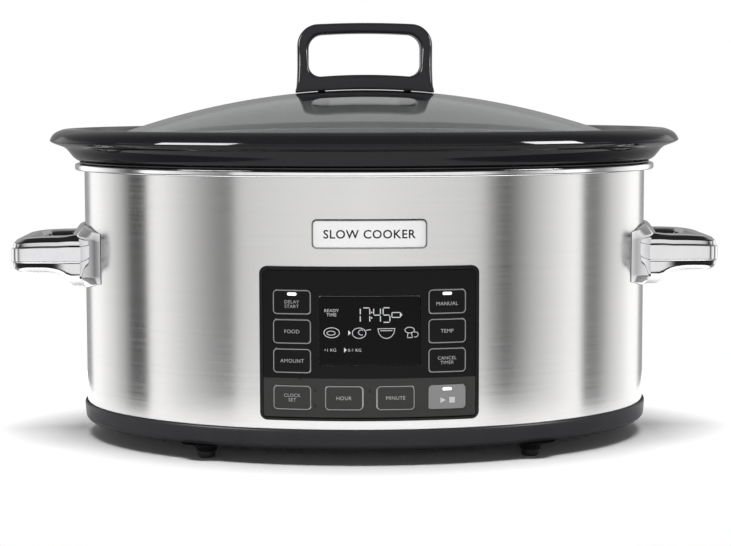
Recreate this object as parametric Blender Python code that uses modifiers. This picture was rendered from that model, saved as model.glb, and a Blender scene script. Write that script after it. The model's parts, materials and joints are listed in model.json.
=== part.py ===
"""Oval counter-top slow cooker: steel-wrapped heating base, stoneware bowl and domed glass lid.

Metres, +Z up, the control panel faces -Y. The origin is on the table under the middle of the base.
"""

import math

import bmesh
import bpy
from mathutils import Matrix, Vector

MM = 0.001
GAP = 0.3 * MM                  # clearance left between pieces that rest on or fit in each other
SEGMENTS = 48                   # facets round each oval
FACET_PITCH = 7.0 * MM          # width of the facets of a plate that is bent to the wall
FACET_MARGIN = 1.0 * MM         # no facet line this near a plate's side

# ---- heating base -------------------------------------------------------------------------
WALL_HALF_X = 182.5 * MM        # outside of the steel wrap, half its length
WALL_HALF_Y = 135.0 * MM        # outside of the steel wrap, half its depth
WRAP_THICKNESS = 0.8 * MM
FOOT_HEIGHT = 4.0 * MM
FOOT_RADIUS = 5.2 * MM
FOOT_INSET = 11.2 * MM          # the feet stand on an oval this far inside the wrap
FOOT_ANGLE = 54.7               # degrees from the long axis, as a turn round that oval
BOSS_RADIUS = 11.5 * MM
TRAY_BOTTOM = 9.0 * MM
TRAY_FLOOR = 3.0 * MM
SKIRT_TOP = 22.0 * MM
SKIRT_LIP = 3.0 * MM            # how far the skirt's lip overlaps the wrap
SKIRT_PROUD = 1.7 * MM
RING_BOTTOM = 172.0 * MM
RING_HEIGHT = 4.0 * MM
RING_PROUD = 6.0 * MM
WELL_THICKNESS = 1.0 * MM
WELL_BOTTOM = 40.0 * MM
WELL_CLEARANCE = 2.2 * MM       # between the heater band and the control box
BAND_THICKNESS = 1.6 * MM
BAND_RISE = 18.0 * MM           # the heater band starts this far above the bottom of the well
BAND_HEIGHT = 34.0 * MM
SHIELD_OFFSET = -8.0 * MM
SHIELD_HEAD = 22.0 * MM         # the shield stops this far below the ring
COVER_INSET_X = 70.5 * MM       # edge of the base cover, in from the wrap
COVER_INSET_Y = 63.0 * MM
COVER_THICKNESS = 1.0 * MM
COVER_LAP = 12.0 * MM
COVER_SCREW_RADIUS = 1.5 * MM

# ---- stoneware bowl -----------------------------------------------------------------------
BOWL_OVERHANG_X = 22.0 * MM     # the lip, out from the wrap at the ends
BOWL_OVERHANG_Y = 10.0 * MM     # the lip, out from the wrap at the front
BOWL_SEAT = 4.0 * MM            # how far past the wrap the lip's flat underside reaches
BOWL_LIP_HEIGHT = 20.9 * MM
BOWL_WALL = 9.5 * MM
BOWL_CLEARANCE = 3.5 * MM       # between the bowl and the wall of the well
BOWL_STANDOFF = 4.5 * MM        # between the bowl and the floor of the well
LEDGE_DROP = 8.5 * MM           # the lid's seat, below the crest of the lip

# ---- lid ----------------------------------------------------------------------------------
LID_INSET_X = 16.0 * MM         # edge of the lid, in from the wrap
LID_INSET_Y = 8.5 * MM
LID_EDGE = 2.5 * MM
LID_RISE = 30.5 * MM
GLASS_THICKNESS = 4.0 * MM
HANDLE_RISE = 43.0 * MM         # the handle's top, above the top of the glass
HANDLE_HALF_X = 43.6 * MM
HANDLE_HALF_Y = 13.0 * MM
HANDLE_BAR = 6.5 * MM
HANDLE_CROWN = 1.5 * MM
HANDLE_CORNER = 13.0 * MM
OPENING_INSET = 7.2 * MM
OPENING_RISE = 8.0 * MM
OPENING_CORNER = 8.5 * MM
LID_SCREW_X = 28.0 * MM
LID_SCREW_RADIUS = 2.5 * MM
LID_SCREW_HEAD = 6.0 * MM
PAD_THICKNESS = 2.5 * MM
PAD_CLEARANCE = 0.9 * MM        # under the glass, which curves away along Y too

# ---- side handles -------------------------------------------------------------------------
GRIP_REACH = 44.2 * MM          # tip of the handle, out from the wrap
GRIP_BAR = 15.0 * MM
GRIP_HALF_Y = 39.0 * MM
GRIP_ARM = 13.0 * MM
GRIP_BOTTOM = 107.0 * MM
GRIP_TOP = 130.5 * MM
GRIP_FLARE = 15.0 * MM
ROOT_BOTTOM = 97.5 * MM
ROOT_TOP = 137.0 * MM
ROOT_HALF_Y = 54.0 * MM
ROOT_THICKNESS = 8.0 * MM
HANDLE_SCREW_Y = 15.0 * MM
HANDLE_SCREW_RADIUS = 2.0 * MM
HANDLE_SCREW_HEAD = 4.0 * MM
HANDLE_SCREW_CLEAR = 0.8 * MM   # the wrap curves towards the flat of the head

# ---- control panel ------------------------------------------------------------------------
KEY_WIDTH = 22.4 * MM
KEY_HEIGHT = 14.4 * MM
KEY_RADIUS = 2.4 * MM
KEY_GAP = 3.1 * MM              # between the keys of a column
KEY_TRAVEL = 0.5 * MM
KEY_PROUD = 0.3 * MM            # front of a key ahead of the fascia
PLUNGER_RADIUS = 2.0 * MM
LAMP_WIDTH = 5.6 * MM
LAMP_HEIGHT = 1.8 * MM
LAMP_DROP = 2.4 * MM            # lamp centre below the key's upper edge
WINDOW_WIDTH = 60.0 * MM
WINDOW_HEIGHT = 41.0 * MM
WINDOW_DROP = 17.7 * MM         # top of the window below the top of the panel
WINDOW_GAP = 4.8 * MM           # between the window and the key columns
PANEL_BOTTOM = 27.4 * MM
PANEL_SIDE_MARGIN = 8.15 * MM   # from the panel's side to the key columns
PANEL_HEAD_MARGIN = 13.9 * MM
PANEL_FOOT_MARGIN = 6.7 * MM
PANEL_ROW_GAP = 7.6 * MM        # between the key columns and the bottom row
PANEL_RADIUS = 4.5 * MM
PANEL_PROUD = 2.0 * MM
BEZEL_BORDER = 2.0 * MM
BEZEL_OVERLAP = 2.6 * MM        # how far the bezel covers the edge of the hole in the wrap
SKIRT_WALL = 2.6 * MM
FASCIA_THICKNESS = 0.8 * MM
BOARD_DEPTH = 4.0 * MM          # control board, behind the wrap's face at the panel's sides
BOARD_THICKNESS = 1.6 * MM
SWITCH_HEIGHT = 1.5 * MM
BOX_WALL = 2.0 * MM
BADGE_WIDTH = 68.3 * MM
BADGE_HEIGHT = 17.6 * MM
BADGE_SHARE = 0.297             # share of the bare wall above the panel that lies below the badge
BADGE_THICKNESS = 1.5 * MM

# ---- inside the base ----------------------------------------------------------------------
POWER_BOARD_INSET = 6.0 * MM    # outer end of the board, in from the edge of the cover
POWER_BOARD_END = 16.0 * MM     # inner end of the board, clear of the tie bolt
POWER_BOARD_DEPTH = 50.0 * MM
POWER_BOARD_Z = 20.0 * MM
TRANSFORMER_SPAN = (0.11, 0.42)     # as shares of the board's length
RELAY_SPAN = (0.53, 0.73)
GLAND_RADIUS = 7.0 * MM
GLAND_BORE = 3.6 * MM
GLAND_Z = 34.0 * MM
GLAND_X = 0.0 * MM

# ---- sizes that follow from those above ---------------------------------------------------
RING_TOP = RING_BOTTOM + RING_HEIGHT
COVER_HALF_X = WALL_HALF_X - COVER_INSET_X
COVER_HALF_Y = WALL_HALF_Y - COVER_INSET_Y
BOWL_SEAT_Z = RING_TOP + GAP + WELL_THICKNESS + GAP
BOWL_CREST = BOWL_SEAT_Z + BOWL_LIP_HEIGHT
BOWL_BOTTOM = WELL_BOTTOM + WELL_THICKNESS + BOWL_STANDOFF
LEDGE_Z = BOWL_CREST - LEDGE_DROP
LID_HALF_X = WALL_HALF_X - LID_INSET_X
LID_HALF_Y = WALL_HALF_Y - LID_INSET_Y
LID_EDGE_TOP = LEDGE_Z + LID_EDGE
LID_TOP = LID_EDGE_TOP + LID_RISE
HANDLE_TOP = LID_TOP + HANDLE_RISE
OPENING_HALF_X = HANDLE_HALF_X - OPENING_INSET
OPENING_BOTTOM = LID_TOP + OPENING_RISE
PANEL_WIDTH = WINDOW_WIDTH + 2 * (WINDOW_GAP + KEY_WIDTH + PANEL_SIDE_MARGIN)
PANEL_HEIGHT = PANEL_HEAD_MARGIN + 4 * KEY_HEIGHT + 2 * KEY_GAP + PANEL_ROW_GAP + PANEL_FOOT_MARGIN
PANEL_TOP = PANEL_BOTTOM + PANEL_HEIGHT
PANEL_Z = (PANEL_BOTTOM + PANEL_TOP) / 2
KEY_OUTER_X = WINDOW_WIDTH / 2 + WINDOW_GAP + KEY_WIDTH / 2     # centre of the left and right key columns
KEY_TOP_Z = PANEL_TOP - PANEL_HEAD_MARGIN - KEY_HEIGHT / 2
KEY_LOW_Z = PANEL_BOTTOM + PANEL_FOOT_MARGIN + KEY_HEIGHT / 2
WINDOW_Z = PANEL_TOP - WINDOW_DROP - WINDOW_HEIGHT / 2
BADGE_Z = PANEL_TOP + BADGE_SHARE * (RING_BOTTOM - PANEL_TOP - BADGE_HEIGHT) + BADGE_HEIGHT / 2
CUT_LOW_Y = -WALL_HALF_Y - 65.0 * MM    # cutters through the front wall run from here
CUT_HIGH_Y = -WALL_HALF_Y + 45.0 * MM   # to here

parts = None
cutters = None


# ---- scene helpers ------------------------------------------------------------------------
def clear_scene():
    for item in list(bpy.data.objects):
        bpy.data.objects.remove(item, do_unlink=True)


def new_collection(name):
    collection = bpy.data.collections.new(name)
    bpy.context.scene.collection.children.link(collection)
    return collection


def finish_of(name, colour, roughness, metallic=0.0, clear=0.0):
    """A Principled material for one piece."""
    material = bpy.data.materials.new(name)
    material.use_nodes = True
    shader = material.node_tree.nodes["Principled BSDF"]
    shader.inputs["Base Color"].default_value = (*colour, 1.0)
    shader.inputs["Roughness"].default_value = roughness
    shader.inputs["Metallic"].default_value = metallic
    shader.inputs["Transmission Weight"].default_value = clear
    return material


def add_object(name, bm, collection, origin=(0.0, 0.0, 0.0)):
    """Store a bmesh made in world coordinates as an object whose origin is at `origin`."""
    bmesh.ops.recalc_face_normals(bm, faces=bm.faces)
    bm.transform(Matrix.Translation(-Vector(origin)))
    mesh = bpy.data.meshes.new(name)
    bm.to_mesh(mesh)
    bm.free()
    mesh.shade_smooth()
    mesh.set_sharp_from_angle(angle=math.radians(35))
    item = bpy.data.objects.new(name, mesh)
    item.location = origin
    collection.objects.link(item)
    return item


def piece(name, bm, finish, origin=(0.0, 0.0, 0.0), parent=None):
    item = add_object(name, bm, parts, origin)
    item.data.materials.append(finish)
    if parent:
        attach(item, parent)
    return item


def attach(item, parent):
    """Parent without moving the child."""
    bpy.context.view_layer.update()
    item.parent = parent
    item.matrix_parent_inverse = parent.matrix_world.inverted()


def helper(name, bm):
    """A cutter: kept in the file, left out of the render."""
    item = add_object(name, bm, cutters)
    item.hide_render = True
    item.display_type = "WIRE"
    return item


def combine(target, other, operation):
    change = target.modifiers.new(f"{operation.lower()} {other.name}", "BOOLEAN")
    change.operation = operation
    change.object = other
    change.solver = "EXACT"


def cut(target, bm, name):
    combine(target, helper(f"cut_{name}", bm), "DIFFERENCE")


def join(target, bm, name):
    combine(target, helper(f"add_{name}", bm), "UNION")


def keep(target, bm, name):
    combine(target, helper(f"keep_{name}", bm), "INTERSECT")


def axis_empty(name, location, parent=None):
    empty = bpy.data.objects.new(name, None)
    empty.location = location
    empty.empty_display_size = 0.02
    parts.objects.link(empty)
    if parent:
        attach(empty, parent)
    return empty


# ---- shape helpers ------------------------------------------------------------------------
def wall(offset, z):
    """A row of an oval section: `offset` outside the wrap's outer face, at height `z`."""
    return (WALL_HALF_X + offset, WALL_HALF_Y + offset, z)


def wall_y(x, offset):
    """The front of the oval wall at `x`, moved out by `offset`."""
    return -(WALL_HALF_Y + offset) * math.sqrt(1.0 - (x / (WALL_HALF_X + offset)) ** 2)


def wall_x(y, offset):
    """The right end of the oval wall at `y`, moved out by `offset`."""
    return (WALL_HALF_X + offset) * math.sqrt(1.0 - (y / (WALL_HALF_Y + offset)) ** 2)


def board_y():
    """Front face of the control board."""
    return wall_y(PANEL_WIDTH / 2, 0.0) + BOARD_DEPTH


def box_back_y():
    """Rear face of the control box."""
    return board_y() + BOARD_THICKNESS + GAP + BOX_WALL


def well_offset():
    """Outside of the well's wall from the wrap's outside, so that the heater band clears the box."""
    return -(WALL_HALF_Y + box_back_y()) - WELL_CLEARANCE - BAND_THICKNESS - GAP


def oval_sweep(rows, closed):
    """Sweep a section round the oval; each row is (half length, half depth, height).

    A closed section makes a band, and an open one is capped flat at its first and last row.
    """
    bm = bmesh.new()
    start = bmesh.ops.create_circle(bm, segments=SEGMENTS, radius=1.0)["verts"]
    turns = [(vert.co.x, vert.co.y) for vert in start]
    rings = [start]
    edges = list(bm.edges)
    for _ in rows[1:]:
        grown = bmesh.ops.extrude_edge_only(bm, edges=edges)["geom"]
        edges = [item for item in grown if isinstance(item, bmesh.types.BMEdge)
                 and all(vert in grown for vert in item.verts)]
        fresh = [item for item in grown if isinstance(item, bmesh.types.BMVert)]
        order = {(round(vert.co.x, 6), round(vert.co.y, 6)): vert for vert in fresh}
        rings.append([order[(round(x, 6), round(y, 6))] for x, y in turns])
        edges = [edge for edge in edges if edge.verts[0] in fresh and edge.verts[1] in fresh]
    for ring, (half_x, half_y, z) in zip(rings, rows):
        for vert, (x, y) in zip(ring, turns):
            vert.co = Vector((half_x * x, half_y * y, z))
    if closed:
        bmesh.ops.bridge_loops(bm, edges=[edge for edge in bm.edges if edge.is_boundary])
    else:
        bm.faces.new(rings[0])
        bm.faces.new(rings[-1])
    return bm


def rounded_block(low, high, radius=0.0, axis=1, segments=3):
    """A box from corner `low` to corner `high`, its edges along `axis` rounded."""
    bm = bmesh.new()
    bmesh.ops.create_cube(bm, size=1.0)
    size = [b - a for a, b in zip(low, high)]
    middle = [(a + b) / 2 for a, b in zip(low, high)]
    bmesh.ops.scale(bm, vec=size, verts=bm.verts)
    bmesh.ops.translate(bm, vec=middle, verts=bm.verts)
    if radius:
        along = [edge for edge in bm.edges
                 if abs((edge.verts[0].co - edge.verts[1].co).normalized()[axis]) > 0.99]
        bmesh.ops.bevel(bm, geom=along, offset=radius, segments=segments, affect="EDGES", profile=0.5)
    return bm


def panel_prism(width, height, x, z, radius, front=CUT_LOW_Y, back=CUT_HIGH_Y):
    """A straight rounded prism through the front wall, used for openings."""
    low = (x - width / 2, front, z - height / 2)
    high = (x + width / 2, back, z + height / 2)
    return rounded_block(low, high, radius)


def curved_plate(width, height, x, z, back, front, radius, flat_back=None):
    """A rounded plate bent to the wall, from offset `back` to offset `front`.

    Its facets meet on lines that every plate shares. With `flat_back`, its rear face is flat at that y.
    """
    bm = panel_prism(width, height, x, z, radius, front=-1.0, back=0.0)
    first = math.ceil((x - width / 2 + FACET_MARGIN) / FACET_PITCH)
    last = math.floor((x + width / 2 - FACET_MARGIN) / FACET_PITCH)
    for index in range(first, last + 1):
        bmesh.ops.bisect_plane(bm, geom=list(bm.verts) + list(bm.edges) + list(bm.faces),
                               plane_co=(index * FACET_PITCH, 0, 0), plane_no=(1, 0, 0))
    for vert in bm.verts:
        if vert.co.y < -0.5:
            vert.co.y = wall_y(vert.co.x, front)
        elif flat_back is None:
            vert.co.y = wall_y(vert.co.x, back)
        else:
            vert.co.y = flat_back
    return bm


def rod(start, end, radius, end_radius=None, segments=16):
    """A round bar from `start` to `end`, tapered when `end_radius` differs."""
    bm = bmesh.new()
    start = Vector(start)
    run = Vector(end) - start
    turn = run.to_track_quat("Z", "Y").to_matrix().to_4x4()
    bmesh.ops.create_cone(bm, cap_ends=True, segments=segments, radius1=radius,
                          radius2=radius if end_radius is None else end_radius, depth=run.length,
                          matrix=Matrix.Translation(start + run / 2) @ turn)
    return bm


def merged(*meshes):
    """One bmesh holding several closed shapes that don't touch."""
    whole = bmesh.new()
    for bm in meshes:
        scratch = bpy.data.meshes.new("scratch")
        bm.to_mesh(scratch)
        bm.free()
        whole.from_mesh(scratch)
        bpy.data.meshes.remove(scratch)
    return whole


def arc(centre, radius, start, end, steps):
    """Points on a circle about `centre`, angles in degrees."""
    points = []
    for index in range(steps + 1):
        angle = math.radians(start + (end - start) * index / steps)
        points.append((centre[0] + radius * math.cos(angle), centre[1] + radius * math.sin(angle)))
    return points


def outline_mesh(outlines, thickness, turn):
    """Extrude flat outlines both ways from their plane; later outlines are holes in the first."""
    curve = bpy.data.curves.new("outline", "CURVE")
    curve.dimensions = "2D"
    curve.fill_mode = "BOTH"
    curve.extrude = thickness / 2
    for points in outlines:
        spline = curve.splines.new("POLY")
        spline.points.add(len(points) - 1)
        for point, (u, v) in zip(spline.points, points):
            point.co = (u, v, 0.0, 1.0)
        spline.use_cyclic_u = True
    guide = bpy.data.objects.new("outline", curve)
    parts.objects.link(guide)
    graph = bpy.context.evaluated_depsgraph_get()
    mesh = bpy.data.meshes.new_from_object(guide.evaluated_get(graph))
    bpy.data.objects.remove(guide)
    bm = bmesh.new()
    bm.from_mesh(mesh)
    bpy.data.meshes.remove(mesh)
    bmesh.ops.remove_doubles(bm, verts=bm.verts, dist=1e-6)
    bm.transform(turn)
    return bm


def turned(name, profile, centre, axis_turn, finish, steps=32):
    """A turned piece: a half section (radius, height) swept about its axis by a Screw modifier."""
    bm = bmesh.new()
    verts = [bm.verts.new((radius, 0.0, height)) for radius, height in profile]
    for first, second in zip(verts, verts[1:]):
        bm.edges.new((first, second))
    bmesh.ops.remove_doubles(bm, verts=bm.verts, dist=1e-6)
    mesh = bpy.data.meshes.new(name)
    bm.to_mesh(mesh)
    bm.free()
    item = bpy.data.objects.new(name, mesh)
    item.location = centre
    item.rotation_euler = axis_turn
    item.data.materials.append(finish)
    parts.objects.link(item)
    screw = item.modifiers.new("turn", "SCREW")
    screw.steps = steps
    screw.render_steps = steps
    screw.use_merge_vertices = True
    screw.merge_threshold = 0.00001
    screw.use_smooth_shade = True
    return item


XZ_PLANE = Matrix.Rotation(math.radians(90), 4, "X")


# ---- heating base -------------------------------------------------------------------------
def foot_places():
    foot_x = (WALL_HALF_X - FOOT_INSET) * math.cos(math.radians(FOOT_ANGLE))
    foot_y = (WALL_HALF_Y - FOOT_INSET) * math.sin(math.radians(FOOT_ANGLE))
    for y_side, depth in ((-1, "front"), (1, "rear")):
        for x_side, side in ((-1, "left"), (1, "right")):
            yield f"{depth}_{side}", x_side * foot_x, y_side * foot_y


def cover_screw_places():
    """Screws in the middle of the band where the cover laps the tray."""
    half_x = COVER_HALF_X - COVER_LAP / 2
    half_y = COVER_HALF_Y - COVER_LAP / 2
    for index in range(4):
        angle = math.radians(45 + 90 * index)
        yield index + 1, half_x * math.cos(angle), half_y * math.sin(angle)


def build_tray(plastic, rubber, zinc, galvanised):
    ledge = SKIRT_TOP - SKIRT_LIP
    rows = [
        wall(-4.5 * MM, TRAY_BOTTOM),
        wall(-1.2 * MM, TRAY_BOTTOM + 0.6 * MM),
        wall(1.0 * MM, TRAY_BOTTOM + 3.0 * MM),
        wall(SKIRT_PROUD, SKIRT_TOP - 2.0 * MM),
        wall(SKIRT_PROUD - 0.5 * MM, SKIRT_TOP),
        wall(GAP, SKIRT_TOP),
        wall(GAP, ledge),
        wall(-3.0 * MM, ledge),
        wall(-3.5 * MM, TRAY_BOTTOM + TRAY_FLOOR),
    ]
    tray = piece("base_tray", oval_sweep(rows, closed=False), plastic)
    hole_x = COVER_HALF_X - COVER_LAP
    hole_y = COVER_HALF_Y - COVER_LAP
    cut(tray, oval_sweep([(hole_x, hole_y, 0.0), (hole_x, hole_y, SKIRT_TOP)], closed=False), "tray_opening")
    bosses = []
    for _, x, y in foot_places():
        bosses.append(rod((x, y, TRAY_BOTTOM + 1.0 * MM), (x, y, FOOT_HEIGHT + GAP),
                          BOSS_RADIUS + 2.0 * MM, FOOT_RADIUS + 1.0 * MM))
    for _, x, y in cover_screw_places():
        bosses.append(rod((x, y, TRAY_BOTTOM + TRAY_FLOOR - 1.0 * MM), (x, y, TRAY_BOTTOM + 9.0 * MM),
                          4.0 * MM))
    join(tray, merged(*bosses), "tray_bosses")
    pilots = [rod((x, y, 0.0), (x, y, TRAY_BOTTOM + 7.0 * MM), COVER_SCREW_RADIUS + GAP)
              for _, x, y in cover_screw_places()]
    cut(tray, merged(*pilots), "tray_pilots")

    cover_top = TRAY_BOTTOM - GAP
    cover_low = cover_top - COVER_THICKNESS
    rows = [(COVER_HALF_X, COVER_HALF_Y, cover_low), (COVER_HALF_X, COVER_HALF_Y, cover_top)]
    cover = piece("base_cover", oval_sweep(rows, closed=False), galvanised)
    holes = [rod((x, y, 0.0), (x, y, TRAY_BOTTOM), COVER_SCREW_RADIUS + GAP)
             for _, x, y in cover_screw_places()]
    holes.append(rod((0, 0, 0), (0, 0, TRAY_BOTTOM), 3.0 * MM))
    slot_pitch = 9.0 * MM
    for side in (-1, 1):
        for index in range(5):
            x = side * (32.0 * MM + slot_pitch * index)
            holes.append(rounded_block((x - 1.5 * MM, -14.0 * MM, 0.0),
                                       (x + 1.5 * MM, 14.0 * MM, TRAY_BOTTOM), 1.4 * MM, axis=2, segments=2))
    cut(cover, merged(*holes), "cover_holes")

    for number, x, y in cover_screw_places():
        head = [(0.0, 0.0), (COVER_SCREW_RADIUS, 0.0), (COVER_SCREW_RADIUS, -7.0 * MM), (3.0 * MM, -7.0 * MM),
                (2.4 * MM, -9.0 * MM), (0.0, -9.2 * MM)]
        turned(f"cover_screw_{number}", head, (x, y, cover_low - GAP + 7.0 * MM), (0, 0, 0), zinc, steps=16)
    for name, x, y in foot_places():
        pad = [(0.0, FOOT_HEIGHT), (FOOT_RADIUS, FOOT_HEIGHT), (FOOT_RADIUS, 1.2 * MM),
               (FOOT_RADIUS - 1.0 * MM, 0.0), (0.0, 0.0)]
        turned(f"foot_{name}", pad, (x, y, 0.0), (0, 0, 0), rubber, steps=20)


def rear_bore(radius):
    """A straight bore through the rear wall where the cord gland sits."""
    return rod((GLAND_X, -CUT_HIGH_Y, GLAND_Z), (GLAND_X, -CUT_LOW_Y, GLAND_Z), radius)


def build_wrap(steel, chrome):
    bottom = SKIRT_TOP - SKIRT_LIP + GAP
    top = RING_BOTTOM - GAP
    rows = [wall(-WRAP_THICKNESS, bottom), wall(0.0, bottom), wall(0.0, top), wall(-WRAP_THICKNESS, top)]
    wrap = piece("outer_wrap", oval_sweep(rows, closed=True), steel)
    cut(wrap, panel_prism(PANEL_WIDTH - 2 * BEZEL_OVERLAP, PANEL_HEIGHT - 2 * BEZEL_OVERLAP, 0.0, PANEL_Z,
                          PANEL_RADIUS), "wrap_panel")
    holes = [rear_bore(GLAND_RADIUS - 1.5 * MM + GAP)]
    for _, x, y, outward in handle_screw_places():
        inside = Vector((x, y, handle_middle())) - outward * 0.01
        holes.append(rod(inside, inside + outward * 0.02, HANDLE_SCREW_RADIUS + GAP))
    cut(wrap, merged(*holes), "wrap_holes")

    inner = -WRAP_THICKNESS - GAP
    lip = 1.5 * MM
    ring_rows = [
        wall(RING_PROUD - 1.3 * MM, RING_BOTTOM),
        wall(RING_PROUD, RING_BOTTOM + 1.2 * MM),
        wall(RING_PROUD, RING_TOP - 1.2 * MM),
        wall(RING_PROUD - 1.3 * MM, RING_TOP),
        wall(inner - lip, RING_TOP),
        wall(inner - lip, RING_BOTTOM - 6.0 * MM),
        wall(inner, RING_BOTTOM - 6.0 * MM),
        wall(inner, RING_BOTTOM),
    ]
    piece("rim_ring", oval_sweep(ring_rows, closed=True), chrome)


def build_well(enamel, mica, aluminium, galvanised, zinc):
    flange = RING_TOP + GAP
    outer = well_offset()
    inner = outer - WELL_THICKNESS
    rows = [
        wall(outer - 18.0 * MM, WELL_BOTTOM),
        wall(outer - 6.0 * MM, WELL_BOTTOM + 2.0 * MM),
        wall(outer - 0.5 * MM, WELL_BOTTOM + 8.0 * MM),
        wall(outer, WELL_BOTTOM + 16.0 * MM),
        wall(outer, flange),
        wall(3.0 * MM, flange),
        wall(3.0 * MM, flange + WELL_THICKNESS),
        wall(inner, flange + WELL_THICKNESS),
        wall(inner, WELL_BOTTOM + 16.0 * MM),
        wall(inner - 0.6 * MM, WELL_BOTTOM + 8.6 * MM),
        wall(inner - 5.6 * MM, WELL_BOTTOM + 3.0 * MM),
        wall(inner - 17.0 * MM, WELL_BOTTOM + WELL_THICKNESS),
    ]
    piece("heating_well", oval_sweep(rows, closed=False), enamel)

    band_in = outer + GAP
    band_out = band_in + BAND_THICKNESS
    band_low = WELL_BOTTOM + BAND_RISE
    band_top = band_low + BAND_HEIGHT
    piece("heater_band", oval_sweep([wall(band_in, band_low), wall(band_out, band_low),
                                     wall(band_out, band_top), wall(band_in, band_top)], closed=True), mica)
    shield_low = TRAY_BOTTOM + TRAY_FLOOR + GAP
    shield_top = RING_BOTTOM - SHIELD_HEAD
    shield_in = SHIELD_OFFSET - 0.5 * MM
    rows = [wall(shield_in, shield_low), wall(SHIELD_OFFSET, shield_low), wall(SHIELD_OFFSET, shield_top),
            wall(shield_in, shield_top)]
    shield = piece("heat_shield", oval_sweep(rows, closed=True), aluminium)
    cut(shield, panel_prism(PANEL_WIDTH + 4.0 * MM, PANEL_HEIGHT + 4.0 * MM, 0.0, PANEL_Z, PANEL_RADIUS),
        "shield_panel")
    cut(shield, rear_bore(GLAND_RADIUS + 2.0 * MM), "shield_gland")

    bracket_top = WELL_BOTTOM - GAP
    bracket_low = bracket_top - 10.0 * MM
    bracket = piece("tie_bracket", rounded_block((-20.0 * MM, -7.0 * MM, bracket_low),
                                                 (20.0 * MM, 7.0 * MM, bracket_top)), galvanised)
    cut(bracket, rounded_block((-12.0 * MM, -10.0 * MM, bracket_low + 1.5 * MM),
                               (12.0 * MM, 10.0 * MM, bracket_top + 1.0 * MM)), "bracket_channel")
    bolt_radius = 2.0 * MM
    cut(bracket, rod((0, 0, 0), (0, 0, bracket_top), bolt_radius + GAP), "bracket_hole")
    cover_low = TRAY_BOTTOM - GAP - COVER_THICKNESS
    bolt_top = bracket_low + 7.0 * MM
    under_head = cover_low - GAP
    profile = [(0.0, bolt_top), (bolt_radius, bolt_top), (bolt_radius, under_head), (4.0 * MM, under_head),
               (3.4 * MM, under_head - 2.4 * MM), (0.0, under_head - 2.6 * MM)]
    turned("tie_bolt", profile, (0, 0, 0), (0, 0, 0), zinc, steps=16)


# ---- side handles -------------------------------------------------------------------------
def handle_middle():
    return (ROOT_BOTTOM + ROOT_TOP) / 2


def handle_screw_places():
    """Screws from inside the wrap into each handle, square to the wall."""
    for side, label in ((-1, "left"), (1, "right")):
        for end, name in ((-1, "front"), (1, "rear")):
            y = end * HANDLE_SCREW_Y
            x = side * wall_x(y, 0.0)
            outward = Vector((x / WALL_HALF_X ** 2, y / WALL_HALF_Y ** 2, 0.0)).normalized()
            yield f"{label}_{name}", x, y, outward


def build_side_handle(name, side, finish):
    """A C-shaped grip on a wide root plate that follows the wall; `side` is -1 or 1."""
    face = WALL_HALF_X + ROOT_THICKNESS
    tip = WALL_HALF_X + GRIP_REACH
    drop = GRIP_BOTTOM - ROOT_BOTTOM - 0.5 * MM
    round_over = 5.5 * MM
    silhouette = [(WALL_HALF_X - 25.0 * MM, GRIP_TOP - 0.5 * MM), (WALL_HALF_X - 25.0 * MM, GRIP_BOTTOM)]
    silhouette += [(face - 4.0 * MM, ROOT_BOTTOM + 0.5 * MM), (face + 1.0 * MM, ROOT_BOTTOM + 0.5 * MM)]
    silhouette += [(face + GRIP_FLARE + 3.0 * MM - GRIP_FLARE * math.cos(math.radians(angle)),
                    GRIP_BOTTOM - drop + drop * math.sin(math.radians(angle))) for angle in (30, 60, 90)]
    silhouette += arc((tip - round_over, GRIP_BOTTOM + round_over), round_over, -90, 0, 4)
    silhouette += arc((tip - round_over, GRIP_TOP - round_over - 1.0 * MM), round_over, 0, 70, 4)
    silhouette += [(face + 3.0 * MM, GRIP_TOP + 1.0 * MM), (face - 1.0 * MM, ROOT_TOP - 1.2 * MM),
                   (face - 6.0 * MM, ROOT_TOP - 0.4 * MM)]
    depth = 2 * GRIP_HALF_Y + 4.0 * MM
    grip = piece(name, outline_mesh([[(side * x, z) for x, z in silhouette]], depth, XZ_PLANE), finish)
    low = ROOT_BOTTOM - 40.0 * MM
    high = ROOT_TOP + 40.0 * MM
    inner_x = face + 1.5 * MM
    plan = rounded_block((WALL_HALF_X - 30.0 * MM, -GRIP_HALF_Y, low), (tip + 0.4 * MM, GRIP_HALF_Y, high),
                         9.0 * MM, axis=2)
    finger = rounded_block((inner_x, -GRIP_HALF_Y + GRIP_ARM, low),
                           (tip - GRIP_BAR, GRIP_HALF_Y - GRIP_ARM, high), 5.0 * MM, axis=2)
    root_end = wall_x(ROOT_HALF_Y, 0.0)
    root = oval_sweep([wall(0.0, ROOT_BOTTOM), wall(ROOT_THICKNESS, ROOT_BOTTOM + 3.0 * MM),
                       wall(ROOT_THICKNESS, ROOT_TOP - 3.0 * MM), wall(0.0, ROOT_TOP)], closed=False)
    window = rounded_block((root_end - 20.0 * MM, -ROOT_HALF_Y, low), (tip + 20.0 * MM, ROOT_HALF_Y, high))
    if side < 0:
        mirror = Matrix.Scale(-1.0, 4, (1, 0, 0))
        for bm in (plan, finger, window):
            bm.transform(mirror)
    keep(grip, plan, f"{name}_plan")
    root_helper = helper(f"root_{name}", root)
    keep(root_helper, window, f"{name}_window")
    combine(grip, root_helper, "UNION")
    cut(grip, finger, f"{name}_finger")
    cut(grip, oval_sweep([wall(GAP, low), wall(GAP, high)], closed=False), f"{name}_wall")
    pilots = []
    for label, x, y, outward in handle_screw_places():
        if label.startswith(name.split("_")[1]):
            start = Vector((x, y, handle_middle())) - outward * 0.005
            pilots.append(rod(start, start + outward * 0.0115, HANDLE_SCREW_RADIUS + GAP))
    cut(grip, merged(*pilots), f"{name}_pilots")


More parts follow.
